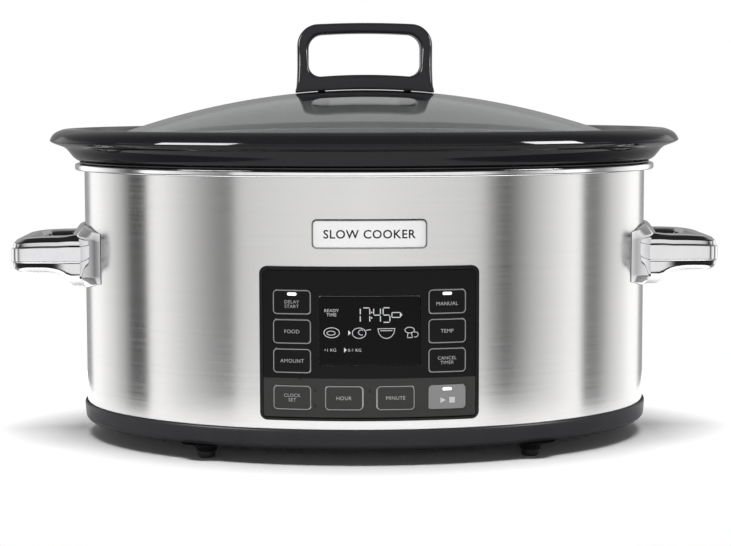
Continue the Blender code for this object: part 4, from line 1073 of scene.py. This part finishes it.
# ---- base -----------------------------------------------------------------------------------
@dataclass
class HeatingBase:
    """The steel wall, its ring, the skirt with its feet, the well and the cord gland.

    Attributes:
        wall: The oval wall.
        sheet: Thickness of the steel.
        foot_boss: Radius of the boss over each foot, at the skirt.
    """

    wall: Wall
    sheet: float = 0.8 * MM
    foot_boss: float = 15.5 * MM

    def build(self) -> None:
        """Make and dress every piece of the base."""
        self.build_wall()
        self.build_ring()
        self.build_skirt()
        self.build_feet()
        self.build_well()
        self.build_gland()

    def build_wall(self) -> None:
        """The steel wall: a thin closed section carried round the oval."""
        low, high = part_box("outer_wrap")
        rows = np.array([(-self.sheet, low.z), (0.0, low.z), (0.0, low.z + 4 * MM), (0.0, high.z - 4 * MM),
                         (0.0, high.z), (-self.sheet, high.z)])
        make_piece("steel_wall", [shell(self.wall.band(rows), along=True)], STEEL, Body.HOUSING.value,
                   ["outer_wrap"])

    def build_ring(self) -> None:
        """The bright ring under the bowl's lip, rounded at its front."""
        low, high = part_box("rim_ring")
        proud = high.x - self.wall.half_x
        bottom = high.z - 4.0 * MM
        inner = -self.sheet - 1.8 * MM
        rows = np.array([(inner, low.z), (-1.1 * MM, low.z), (-1.1 * MM, bottom), (proud, bottom),
                         (proud, high.z), (inner, high.z)])
        band = shell(self.wall.band(eased(rows, 1.3 * MM, 5, True)), along=True)
        make_piece("rim_band", [band], RING_STEEL, Body.HOUSING.value, ["rim_ring"])

    def build_skirt(self) -> None:
        """The black skirt with its lip, floor and the bowl-shaped bosses over the feet."""
        bottom = 9.0 * MM
        rows = np.array([(-4.5, 9.0), (-1.2, 9.6), (1.0, 12.0), (1.7, 19.6), (1.7, 21.0), (1.2, 22.0),
                         (0.3, 22.0), (0.3, 19.0), (-3.0, 19.0), (-3.5, 12.0)]) * MM
        shells = [shell(self.wall.band(eased(rows, 0.8 * MM, 4)))]
        floor = oval(np.array([(self.wall.half_x - 4.5 * MM, self.wall.half_y - 4.5 * MM, bottom),
                               (0.100, 0.060, bottom), (0.100, 0.060, bottom + 3 * MM),
                               (self.wall.half_x - 3.5 * MM, self.wall.half_y - 3.5 * MM, bottom + 3 * MM)]))
        shells.append(shell(floor))
        make_piece("black_skirt", shells, SKIRT_PLASTIC, Body.HOUSING.value, ["base_tray"])
        bosses = []
        for end in FEET:
            foot_low, foot_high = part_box(f"foot_{end}")
            middle = (foot_low + foot_high) / 2
            curve = np.linspace(0.0, 1.0, 12)
            radius = 6.2 * MM + (self.foot_boss - 6.2 * MM) * (1 - np.sqrt(1 - curve ** 2))
            height = 4.3 * MM + (bottom + 0.4 * MM - 4.3 * MM) * curve
            bosses.append(turned(np.column_stack([radius, height]), Vector((middle.x, middle.y, 0.0))))
        make_piece("foot_bosses", bosses, SKIRT_PLASTIC, Body.HOUSING.value)

    def build_feet(self) -> None:
        """Turned rubber feet with a soft lower edge."""
        for end in FEET:
            low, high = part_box(f"foot_{end}")
            radius = (high.x - low.x) / 2
            profile = eased(np.array([(0.5 * radius, low.z), (radius - 0.5 * MM, low.z), (radius, 1.2 * MM),
                                      (radius, high.z), (0.5 * radius, high.z)]), 0.6 * MM, 4)
            centre = Vector(((low.x + high.x) / 2, (low.y + high.y) / 2, 0.0))
            make_piece(f"pad_{end}", [turned(profile, centre)], FOOT_RUBBER, Body.HOUSING.value,
                       [f"foot_{end}"])

    def build_well(self) -> None:
        """The painted well that the bowl hangs in."""
        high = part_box("heating_well")[1]
        rows = np.array([(3.0, 177.3), (3.0, 176.3), (-21.0, 176.3), (-21.0, 56.0), (-21.5, 48.0),
                         (-27.0, 42.0), (-39.0, 40.0)]) * MM
        rows = rows + np.array([0.0, high.z - 177.3 * MM])
        inside = rows[::-1] + np.array([(-1.0, 1.0)]) * MM
        inside[-1] = rows[0]
        grid = self.wall.band(np.vstack([eased(rows, 3.0 * MM, 5), eased(inside[:-1], 3.0 * MM, 5),
                                         rows[:1] + np.array([(-1.0, 0.0)]) * MM]))
        outer = len(eased(rows, 3.0 * MM, 5))
        shells = [shell(poled(grid[:outer], first=False)), shell(poled(grid[outer:], last=False)),
                  shell(np.stack([grid[-1], grid[0]]))]
        make_piece("painted_well", shells, WELL_PAINT, Body.HOUSING.value, ["heating_well"])

    def build_gland(self) -> None:
        """The rubber gland in the rear wall: a turned sleeve lying along Y."""
        low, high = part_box("cord_gland")
        radius = (high.x - low.x) / 2
        bore = 3.6 * MM
        rear = high.y
        profile = eased(np.array([(bore, rear), (bore + 1.6 * MM, rear), (radius, rear - 2.0 * MM),
                                  (radius, rear - 4.6 * MM), (radius - 1.5 * MM, rear - 4.9 * MM),
                                  (radius - 1.5 * MM, low.y), (bore, low.y)]), 0.5 * MM, 4, True)
        angle = np.linspace(0.0, 2 * math.pi, 40, endpoint=False)
        middle_z = (low.z + high.z) / 2
        grid = np.stack([profile[:, :1] * np.cos(angle), profile[:, 1:] + 0.0 * angle,
                         middle_z + profile[:, :1] * np.sin(angle)], -1)
        make_piece("gland_sleeve", [shell(grid, along=True)], GLAND_RUBBER, Body.HOUSING.value,
                   ["cord_gland"])


@dataclass
class SideHandle:
    """One side handle: a chromed C-shaped grip on a root that follows the wall.

    Attributes:
        wall: The wall it sits on.
        side: -1 for the left, 1 for the right.
        bar: Thickness of the grip in plan.
        half_y: Half the grip's size along Y.
        arm: Thickness of an arm.
    """

    wall: Wall
    side: int
    bar: float = 15.0 * MM
    half_y: float = 39.0 * MM
    arm: float = 13.0 * MM
    root_half_y: float = 54.0 * MM

    @property
    def node(self) -> str:
        """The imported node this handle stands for."""
        return "handle_right" if self.side > 0 else "handle_left"

    def build(self) -> None:
        """Make the grip and its root as one piece."""
        make_piece(f"{self.node}_chrome", [self.grip(), self.root()], CHROME, Body.HOUSING.value, [self.node],
                   sharp=28.0)

    @staticmethod
    def bracket(start: float, tip: float, half_y: float, radius: float) -> Array:
        """A C in plan, from the wall round to the wall, as (x, y) with even counts on each part.

        Args:
            start: Where each leg starts.
            tip: How far out the C reaches.
            half_y: Half its depth.
            radius: Of its two corners.

        Returns:
            The line as rows of (x, y).
        """
        leg = np.linspace(start, tip - radius, 16, endpoint=False)
        turn = np.linspace(0.0, math.pi / 2, 9)
        span = np.linspace(half_y - radius, -half_y + radius, 14)[1:-1]
        first = np.column_stack([leg, np.full_like(leg, half_y)])
        corner = np.column_stack([tip - radius + radius * np.sin(turn),
                                  half_y - radius + radius * np.cos(turn)])
        middle = np.column_stack([np.full_like(span, tip), span])
        return np.vstack([first, corner, middle, (corner * (1, -1))[::-1], (first * (1, -1))[::-1]])

    def grip(self) -> Shell:
        """The grip: P(t, k) = I(t) + s_k (O(t) - I(t)) in plan.

        Its height is B(t) + q_k (T(t) - B(t)) - u_k F(t).

        I and O are the inner and outer line of the C, B and T its lower and upper line, (s, q) the section
        with its flat band and the bevels above and below it, and F the flare to the root, which only the
        part below the band (u) takes.

        Returns:
            The points and faces.
        """
        low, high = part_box(self.node)
        tip = high.x if self.side > 0 else -low.x
        inner_wall = self.wall.half_x - 12.0 * MM
        outer = self.bracket(inner_wall, tip, self.half_y, 8.5 * MM)
        inner = self.bracket(inner_wall, tip - self.bar, self.half_y - self.arm, 5.0 * MM)
        section = eased(np.array([(1.0, 0.30), (1.0, 0.70), (0.95, 0.71), (0.91, 0.86), (0.76, 0.97),
                                  (0.60, 1.00), (0.25, 1.00), (0.05, 0.90), (0.0, 0.78), (0.0, 0.25),
                                  (0.08, 0.08), (0.30, 0.0), (0.70, 0.0), (0.84, 0.05), (0.92, 0.13),
                                  (0.96, 0.29)]), 0.03, 4, True)
        face = self.wall.half_x + 8.0 * MM
        away = np.clip((outer[:, 0] - face) / (tip - face), 0.0, 1.0)
        near = np.clip((face + 17.0 * MM - outer[:, 0]) / (17.0 * MM), 0.0, 1.0)
        bottom = 107.0 * MM + 0.6 * MM * away
        flare = 9.0 * MM * (1 - np.sqrt(1 - np.clip(near, 0.0, 0.995) ** 2))
        top = 130.6 * MM - 1.6 * MM * away ** 3 + 1.0 * MM * np.clip(near * 1.6 - 1.0, 0.0, 1.0)
        plan = inner[:, None, :] + section[None, :, :1] * (outer - inner)[:, None, :]
        under = np.clip(1.0 - section[None, :, 1] / 0.28, 0.0, 1.0)
        height = bottom[:, None] + section[None, :, 1] * (top - bottom)[:, None] - flare[:, None] * under
        grid = np.concatenate([plan * (self.side, 1.0), height[..., None]], -1)
        return shell(poled(grid))

    def root(self) -> Shell:
        """The root: a chamfered section carried along the wall and sunk into it at both ends.

        Returns:
            The points and faces.
        """
        y = np.linspace(-1.0, 1.0, 49) * self.root_half_y
        section = eased(np.array([(0.3, 97.5), (2.5, 97.6), (8.0, 103.5), (8.0, 130.5), (3.0, 137.0),
                                  (0.3, 137.0)]) * MM, 1.2 * MM, 4, True)
        taper = np.clip((1 - np.abs(y) / self.root_half_y) / 0.38, 0.03, 1.0)
        offset = 0.3 * MM + (section[None, :, 0] - 0.3 * MM) * taper[:, None]
        middle = 117.0 * MM
        height = middle + (section[None, :, 1] - middle) * (0.80 + 0.20 * taper[:, None])
        share = y[:, None] / self.wall.half_y
        x = (self.wall.half_x + offset) * np.sqrt(1 - share ** 2)
        spread = y[:, None] * (1 + offset / self.wall.half_y)
        return shell(poled(np.stack([self.side * x, spread, height], -1)))


# ---- bowl and lid ---------------------------------------------------------------------------
@dataclass
class StonewareBowl:
    """The glazed bowl.

    Attributes:
        wall: The wall it hangs inside.
        outer: Its outside, from the wall's.
        thickness: Of its wall.
    """

    wall: Wall
    outer: float = -25.5 * MM
    thickness: float = 9.5 * MM

    def build(self) -> None:
        """The bowl's section carried round the oval, from the foot over the lip to the floor."""
        low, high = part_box("stoneware_bowl")
        a, b = self.wall.half_x, self.wall.half_y
        lip_x, lip_y = high.x, high.y
        crest, bottom = high.z, low.z
        seat = crest - 20.9 * MM
        ledge = crest - 8.5 * MM
        inner = self.outer - self.thickness

        def hung(offset: float, z: float) -> tuple[float, float, float]:
            return (a + offset, b + offset, z)

        rows = np.array([
            hung(self.outer - 34 * MM, bottom), hung(self.outer - 19 * MM, bottom + 1.5 * MM),
            hung(self.outer - 7 * MM, bottom + 10 * MM), hung(self.outer - 1.5 * MM, bottom + 32 * MM),
            hung(self.outer, seat), hung(3.4 * MM, seat),
            (lip_x - 15.0 * MM, lip_y - 5.8 * MM, seat + 2.4 * MM),
            (lip_x - 10.2 * MM, lip_y - 3.6 * MM, seat + 8.8 * MM),
            (lip_x - 4.0 * MM, lip_y - 1.4 * MM, seat + 10.8 * MM),
            (lip_x, lip_y, seat + 12.6 * MM), (lip_x, lip_y, seat + 14.0 * MM),
            (lip_x - 2.6 * MM, lip_y - 1.3 * MM, crest - 2.8 * MM),
            (lip_x - 9.5 * MM, lip_y - 5 * MM, crest), (lip_x - 15 * MM, lip_y - 8 * MM, crest - 0.6 * MM),
            (a - 8 * MM, b - 4 * MM, ledge + 3.4 * MM), (a - 13.6 * MM, b - 6.1 * MM, ledge),
            (a - 24 * MM, b - 16.5 * MM, ledge - 0.4 * MM), hung(inner, ledge - 5 * MM),
            hung(inner - 1.5 * MM, bottom + 38 * MM), hung(inner - 7 * MM, bottom + 18 * MM),
            hung(inner - 18 * MM, bottom + 11.5 * MM), hung(inner - 32 * MM, bottom + 10 * MM)])
        make_piece("glazed_bowl", [shell(poled(oval(eased(rows, 5 * MM, 6))))], GLAZED, Body.BOWL.value,
                   ["stoneware_bowl"], sharp=50.0)


@dataclass
class GlassLid:
    """The glass dome with its loop handle, pad and two capped screws.

    Attributes:
        thickness: Of the glass.
        rim: Height of its upright edge.
    """

    thickness: float = 4.0 * MM
    rim: float = 2.2 * MM

    def build(self) -> None:
        """Make and dress every piece of the lid."""
        self.build_dome()
        self.build_handle()
        self.build_pad()

    def dome(self, share: Array | float) -> Array | float:
        """Height of the outer face: z = e + (top - e)(1 - s^2), s from 0 at the middle to 1 at the edge.

        Args:
            share: The parameter s.

        Returns:
            The height z.
        """
        low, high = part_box("glass_lid")
        edge = low.z + self.rim
        return edge + (high.z - edge) * (1.0 - np.square(share))

    def build_dome(self) -> None:
        """Both faces of the glass and its rounded edge, carried round the oval."""
        low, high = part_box("glass_lid")
        half_x, half_y = high.x, high.y
        share = np.linspace(0.02, 1.0, 34)
        outer = np.column_stack([half_x * share, half_y * share, self.dome(share)])
        inside_x, inside_y = half_x - self.thickness, half_y - self.thickness
        inner = np.column_stack([inside_x * share, inside_y * share, self.dome(share) - self.thickness])
        inner[-1, 2] = low.z
        edge = np.array([(inside_x + 0.6 * MM, inside_y + 0.6 * MM, low.z),
                         (half_x - 0.3 * MM, half_y - 0.3 * MM, low.z)])
        rows = np.vstack([inner, edge, outer[::-1]])
        make_piece("glass_dome", [shell(poled(oval(rows)))], LID_GLASS, Body.LID.value, ["glass_lid"],
                   sharp=50.0)

    def build_handle(self) -> None:
        """The loop: P(t, k) lies between the opening I(t) and the outside O(t), with rounded edges.

        P = I + d_k (O - I) / |O - I|, where d runs from the opening to the outside over the front, and back
        over the rear.
        """
        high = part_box("lid_handle")[1]
        lid_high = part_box("glass_lid")[1]
        half_x, half_y = 43.6 * MM, high.y
        top = high.z
        opening_low = lid_high.z + 8.0 * MM
        opening_top = top - 8.0 * MM
        hole = rounded_outline(72.8 * MM, opening_top - opening_low, (8.5 * MM,) * 4, 18, 7)
        hole[:, 1] += (opening_top + opening_low) / 2
        bow = 1 - (hole[:, 0] / (36.4 * MM)) ** 2
        upper = hole[:, 1] > (opening_top + opening_low) / 2
        hole[:, 1] += np.where(upper, 1.5 * MM, 1.8 * MM) * np.clip(bow, 0.0, 1.0)
        base = lid_high.z - 4.0 * MM
        corners = (0.8 * MM, 0.8 * MM, 13 * MM, 13 * MM)
        outside = rounded_outline(2 * half_x, top - 1.5 * MM - base, corners, 18, 7)
        outside[:, 1] += (top - 1.5 * MM + base) / 2
        rise = np.clip((outside[:, 1] - base) / (top - base), 0.0, 1.0)
        outside[:, 0] *= 1 + 0.032 * np.clip(1 - 2.2 * rise, 0.0, 1.0) ** 2
        over = np.clip(1 - (outside[:, 0] / half_x) ** 2, 0.0, 1.0)
        outside[:, 1] += np.where(rise > 0.5, 1.5 * MM * over, 0.0)
        resting = self.dome(np.abs(outside[:, 0]) / lid_high.x) + 0.3 * MM
        outside[:, 1] = np.where(rise < 0.08, resting + outside[:, 1] - base, outside[:, 1])
        gone = outside - hole
        length = np.linalg.norm(gone, axis=1)
        heading = gone / length[:, None]
        turn = np.linspace(0.0, math.pi / 2, 6)
        lean = 1.6 * MM + 3.6 * MM * np.clip(1 - 1.3 * rise, 0.0, 1.0) * (rise > 0.08)
        near = 2.2 * MM
        rows = []
        for sign, order in ((-1, 1), (1, -1)):
            face = [(near * (1 - math.sin(a)), half_y - near * (1 - math.cos(a)), False) for a in turn[::-1]]
            face += [(0.0 + math.sin(a), math.cos(a), True) for a in turn]
            for first, second, far in face[::order]:
                if far:
                    across = length - lean + lean * first
                    depth = half_y - lean + lean * second
                else:
                    across = first + 0.0 * length
                    depth = second + 0.0 * length
                rows.append(np.stack([hole[:, 0] + heading[:, 0] * across, sign * depth,
                                      hole[:, 1] + heading[:, 1] * across], -1))
        make_piece("lid_loop", [shell(np.stack(rows), along=True)], HANDLE_PLASTIC, Body.LID.value,
                   ["lid_handle"], sharp=50.0)

    def build_pad(self) -> None:
        """The rubber strip under the glass and the capped screws below it."""
        low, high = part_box("lid_pad")
        lid_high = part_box("glass_lid")[1]
        x = np.linspace(low.x, high.x, 33)
        under = self.dome(np.abs(x) / lid_high.x) - self.thickness - 0.9 * MM
        edge = rounded_outline(high.y - low.y, 2.5 * MM, (0.8 * MM,) * 4, 4, 3)
        grid = np.stack([x[:, None] + 0.0 * edge[None, :, 0], edge[None, :, 0] + 0.0 * x[:, None],
                         under[:, None] - 1.25 * MM + edge[None, :, 1]], -1)
        make_piece("under_pad", [shell(poled(grid))], PAD_RUBBER, Body.LID.value, ["lid_pad"])
        for side in ("left", "right"):
            low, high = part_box(f"lid_screw_{side}")
            radius = (high.x - low.x) / 2
            profile = eased(np.array([(0.6 * MM, high.z), (2.5 * MM, high.z), (2.5 * MM, low.z + 4.6 * MM),
                                      (radius, low.z + 4.6 * MM), (radius, low.z + 1.4 * MM),
                                      (radius - 1.6 * MM, low.z), (0.6 * MM, low.z)]), 0.7 * MM, 4)
            make_piece(f"screw_cap_{side}", [turned(profile, Vector(((low.x + high.x) / 2, 0.0, 0.0)))],
                       CAP_PLASTIC, Body.LID.value, [f"lid_screw_{side}"])


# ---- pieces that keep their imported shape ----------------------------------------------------
@dataclass
class Fittings:
    """Fasteners, boards and sheet parts inside or under the base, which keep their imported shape."""

    def build(self) -> None:
        """Give each shown node a finish of its own kind."""
        kinds: dict[str, Finish] = {
            "galvanised": BrightMetal("galvanised", (0.58, 0.60, 0.61), 0.42, grain=60.0),
            "fastener": BrightMetal("fastener", (0.62, 0.62, 0.60), 0.30, grain=300.0),
            "heater_wrap": Woven("heater_wrap", (0.72, 0.68, 0.55), 0.90),
            "bright_shield": BrightMetal("bright_shield", (0.80, 0.80, 0.80), 0.28, grain=40.0),
            "display_module": Moulded("display_module", (0.030, 0.035, 0.040), 0.40),
            "circuit_board": Moulded("circuit_board", (0.02, 0.16, 0.07), 0.50, grain=250.0),
            "transformer_core": Moulded("transformer_core", (0.05, 0.05, 0.05), 0.45),
            "white_plastic": Moulded("white_plastic", (0.80, 0.79, 0.75), 0.50),
            "fuse_metal": BrightMetal("fuse_metal", (0.72, 0.40, 0.24), 0.35),
            "probe_steel": BrightMetal("probe_steel", (0.62, 0.62, 0.60), 0.30),
            "base_plastic": SKIRT_PLASTIC,
        }
        slots = {row["node"]: row["material_slot"] for row in FRAME["record"]["subparts"]}
        for name, item in FRAME["nodes"].items():
            if item.hide_render:
                continue
            finish = kinds[slots[name]]
            item.data.materials.clear()
            item.data.materials.append(finish.material())
            log.info("%s: packed shape kept", name)


# ---- studio ---------------------------------------------------------------------------------
@dataclass(frozen=True)
class Studio:
    """Floor, lights, surroundings and camera.

    Attributes:
        floor_x: Half the floor's width.
        floor_y: Half its depth.
        top_power: Power of the light overhead.
    """

    floor_x: float = 0.31
    floor_y: float = 0.37
    top_power: float = 58.0

    def build(self) -> None:
        """Set the whole stage."""
        self.build_floor()
        self.build_surroundings()
        self.build_lights()
        self.build_camera()
        bpy.context.scene.view_settings.view_transform = "Standard"
        log.info("studio set")

    def build_floor(self) -> None:
        """An oval pale floor: P(s, t) = s (a cos t, b sin t, 0)."""
        share = np.linspace(0.02, 1.0, 12)
        grid = poled(oval(np.column_stack([share * self.floor_x, share * self.floor_y, 0.0 * share]), 96),
                     last=False)
        points, faces = shell(grid)
        mesh = bpy.data.meshes.new("floor")
        mesh.from_pydata(points.tolist(), [], faces.tolist())
        floor = bpy.data.objects.new("floor", mesh)
        bpy.context.scene.collection.objects.link(floor)
        nodes = Nodes("pale floor")
        nodes.set(Base_Color=(0.93, 0.93, 0.93, 1.0), Roughness=0.55)
        nodes.link(nodes.mixed(nodes.ranged(nodes.noise((6.0,) * 3), 0.0, 0.1), (0.93, 0.93, 0.93),
                               (0.90, 0.90, 0.90)), nodes.shader.inputs["Base Color"])
        mesh.materials.append(nodes.material)

    def build_surroundings(self) -> None:
        """Soft panels round the object as bands of light by bearing, dark overhead at the front."""
        world = bpy.data.worlds.new("studio")
        bpy.context.scene.world = world
        world.use_nodes = True
        tree = world.node_tree
        tree.nodes.clear()
        place = tree.nodes.new("ShaderNodeTexCoord").outputs["Generated"]
        split = tree.nodes.new("ShaderNodeSeparateXYZ")
        tree.links.new(place, split.inputs["Vector"])

        def maths(operation: str, first: bpy.types.NodeSocket, second: bpy.types.NodeSocket | float
                  ) -> bpy.types.NodeSocket:
            """One Math node.

            Args:
                operation: What it works out.
                first: Its first input.
                second: Its second input.

            Returns:
                Its result.
            """
            node = tree.nodes.new("ShaderNodeMath")
            node.operation = operation
            tree.links.new(first, node.inputs[0])
            if isinstance(second, float):
                node.inputs[1].default_value = second
            else:
                tree.links.new(second, node.inputs[1])
            return node.outputs[0]

        forward = maths("MULTIPLY", split.outputs["Y"], -1.0)
        bearing = maths("ARCTAN2", split.outputs["X"], forward)
        share = maths("ADD", maths("DIVIDE", bearing, 2 * math.pi), 0.5)
        low_bands = ((-180, 0.30), (-148, 0.45), (-140, 1.45), (-128, 1.45), (-112, 1.10), (-100, 0.60),
                     (-94, 0.12), (-84, 0.10), (-82, 1.40), (-76, 1.40), (-62, 0.85), (-50, 0.40),
                     (-43.5, 0.22), (-41.5, 0.95), (-20, 1.10), (0, 1.16), (20, 1.06), (37, 0.98),
                     (41, 0.42), (46, 0.10), (58, 0.78), (70, 1.20), (81, 1.60), (83.5, 0.22), (92, 0.30),
                     (104, 0.90), (126, 1.50), (140, 1.45), (148, 0.45), (180, 0.30))
        low = self.ramp(tree, share, low_bands)
        high_bands = ((-180, 0.55), (-130, 0.45), (-95, 0.15), (-80, 0.04), (0, 0.02), (80, 0.04), (95, 0.15),
                      (130, 0.45), (180, 0.55))
        high = self.ramp(tree, share, high_bands)
        climb = tree.nodes.new("ShaderNodeMapRange")
        climb.interpolation_type = "SMOOTHSTEP"
        climb.inputs["From Min"].default_value = 0.26
        climb.inputs["From Max"].default_value = 0.36
        tree.links.new(maths("ABSOLUTE", split.outputs["Z"], 0.0), climb.inputs["Value"])
        mix = tree.nodes.new("ShaderNodeMix")
        mix.data_type = "RGBA"
        tree.links.new(climb.outputs["Result"], mix.inputs["Factor"])
        tree.links.new(low, mix.inputs["A"])
        tree.links.new(high, mix.inputs["B"])
        seen = tree.nodes.new("ShaderNodeMix")
        seen.data_type = "RGBA"
        path = tree.nodes.new("ShaderNodeLightPath")
        tree.links.new(path.outputs["Is Camera Ray"], seen.inputs["Factor"])
        tree.links.new(mix.outputs["Result"], seen.inputs["A"])
        seen.inputs["B"].default_value = (1.0, 1.0, 1.0, 1.0)
        background = tree.nodes.new("ShaderNodeBackground")
        background.inputs["Strength"].default_value = 1.0
        tree.links.new(seen.outputs["Result"], background.inputs["Color"])
        output = tree.nodes.new("ShaderNodeOutputWorld")
        tree.links.new(background.outputs["Background"], output.inputs["Surface"])

    @staticmethod
    def ramp(tree: bpy.types.NodeTree, share: bpy.types.NodeSocket, bands: Sequence[tuple[float, float]]
             ) -> bpy.types.NodeSocket:
        """A colour ramp of (bearing in degrees, brightness).

        Args:
            tree: The node tree it goes into.
            share: The bearing as a share of the full turn.
            bands: Bearing in degrees and brightness of each stop.

        Returns:
            The ramp's colour.
        """
        node = tree.nodes.new("ShaderNodeValToRGB")
        elements = node.color_ramp.elements
        for index, (bearing, level) in enumerate(bands):
            position = bearing / 360 + 0.5
            if index < 2:
                element = elements[index]
                element.position = position
            else:
                element = elements.new(position)
            element.color = (level, level, level, 1.0)
        tree.links.new(share, node.inputs["Fac"])
        return node.outputs["Color"]

    def build_lights(self) -> None:
        """A broad light overhead for the floor, kept out of reflections, and two strips at the front."""
        self.area("overhead", (0.0, -0.1, 1.7), (1.5, 1.2), self.top_power)
        glossy = ("glazed_bowl", "lid_loop", "black_skirt")
        self.area("left_strip", (-1.00, -0.85, 0.50), (0.60, 0.55), 60.0, receivers=glossy)
        self.area("right_strip", (1.05, -0.70, 0.50), (0.42, 0.55), 46.0, receivers=glossy)

    @staticmethod
    def area(name: str, place: tuple[float, float, float], size: tuple[float, float], power: float,
             receivers: Sequence[str] = ()) -> None:
        """An area light that looks at the object and that the camera doesn't see.

        Args:
            name: The light's name.
            place: Where it hangs.
            size: Its width and height.
            power: Its strength, in watts.
            receivers: The only pieces it lights, and is mirrored in; none means it lights everything
                and is mirrored in nothing.
        """
        light = bpy.data.lights.new(name, "AREA")
        light.shape = "RECTANGLE"
        light.size, light.size_y = size
        light.energy = power
        lamp = bpy.data.objects.new(name, light)
        lamp.location = place
        aim = Vector((0.0, 0.0, 0.12)) - Vector(place)
        lamp.rotation_euler = aim.to_track_quat("-Z", "Y").to_euler()
        lamp.visible_camera = False
        lamp.visible_glossy = bool(receivers)
        if receivers:
            group = bpy.data.collections.new(name + "_receivers")
            for piece in receivers:
                group.objects.link(bpy.data.objects[piece])
            lamp.light_linking.receiver_collection = group
        bpy.context.scene.collection.objects.link(lamp)

    def build_camera(self) -> None:
        """A camera a little above the lid, turned slightly and looking slightly down."""
        yaw, pitch, roll = -0.0209, 0.0945, -0.0022
        forward = Vector((-math.sin(yaw) * math.cos(pitch), math.cos(yaw) * math.cos(pitch),
                          -math.sin(pitch)))
        right = Vector((math.cos(yaw), math.sin(yaw), 0.0))
        up = right.cross(forward)
        across = math.cos(roll) * right + math.sin(roll) * up
        above = across.cross(forward)
        data = bpy.data.cameras.new("camera")
        data.lens = 95.8
        data.sensor_width = 36.0
        data.clip_start, data.clip_end = 0.05, 50.0
        camera = bpy.data.objects.new("camera", data)
        place = Vector((-26.27, -1275.87, 223.77)) * MM
        turn = Matrix((across, above, -forward)).transposed().to_4x4()
        camera.matrix_world = Matrix.Translation(place) @ turn
        bpy.context.scene.collection.objects.link(camera)
        bpy.context.scene.camera = camera


def main() -> None:
    """Build the slow cooker from its base up, then its stage."""
    logging.basicConfig(level=logging.INFO, format="%(name)s: %(message)s")
    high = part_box("outer_wrap")[1]
    wall = Wall(high.x, high.y)
    for assembly in (HeatingBase(wall), SideHandle(wall, -1), SideHandle(wall, 1), ControlPanel(wall),
                     StonewareBowl(wall), GlassLid(), Fittings(), Studio()):
        assembly.build()
        log.info("%s built", type(assembly).__name__)


if __name__ == "__main__":
    main()
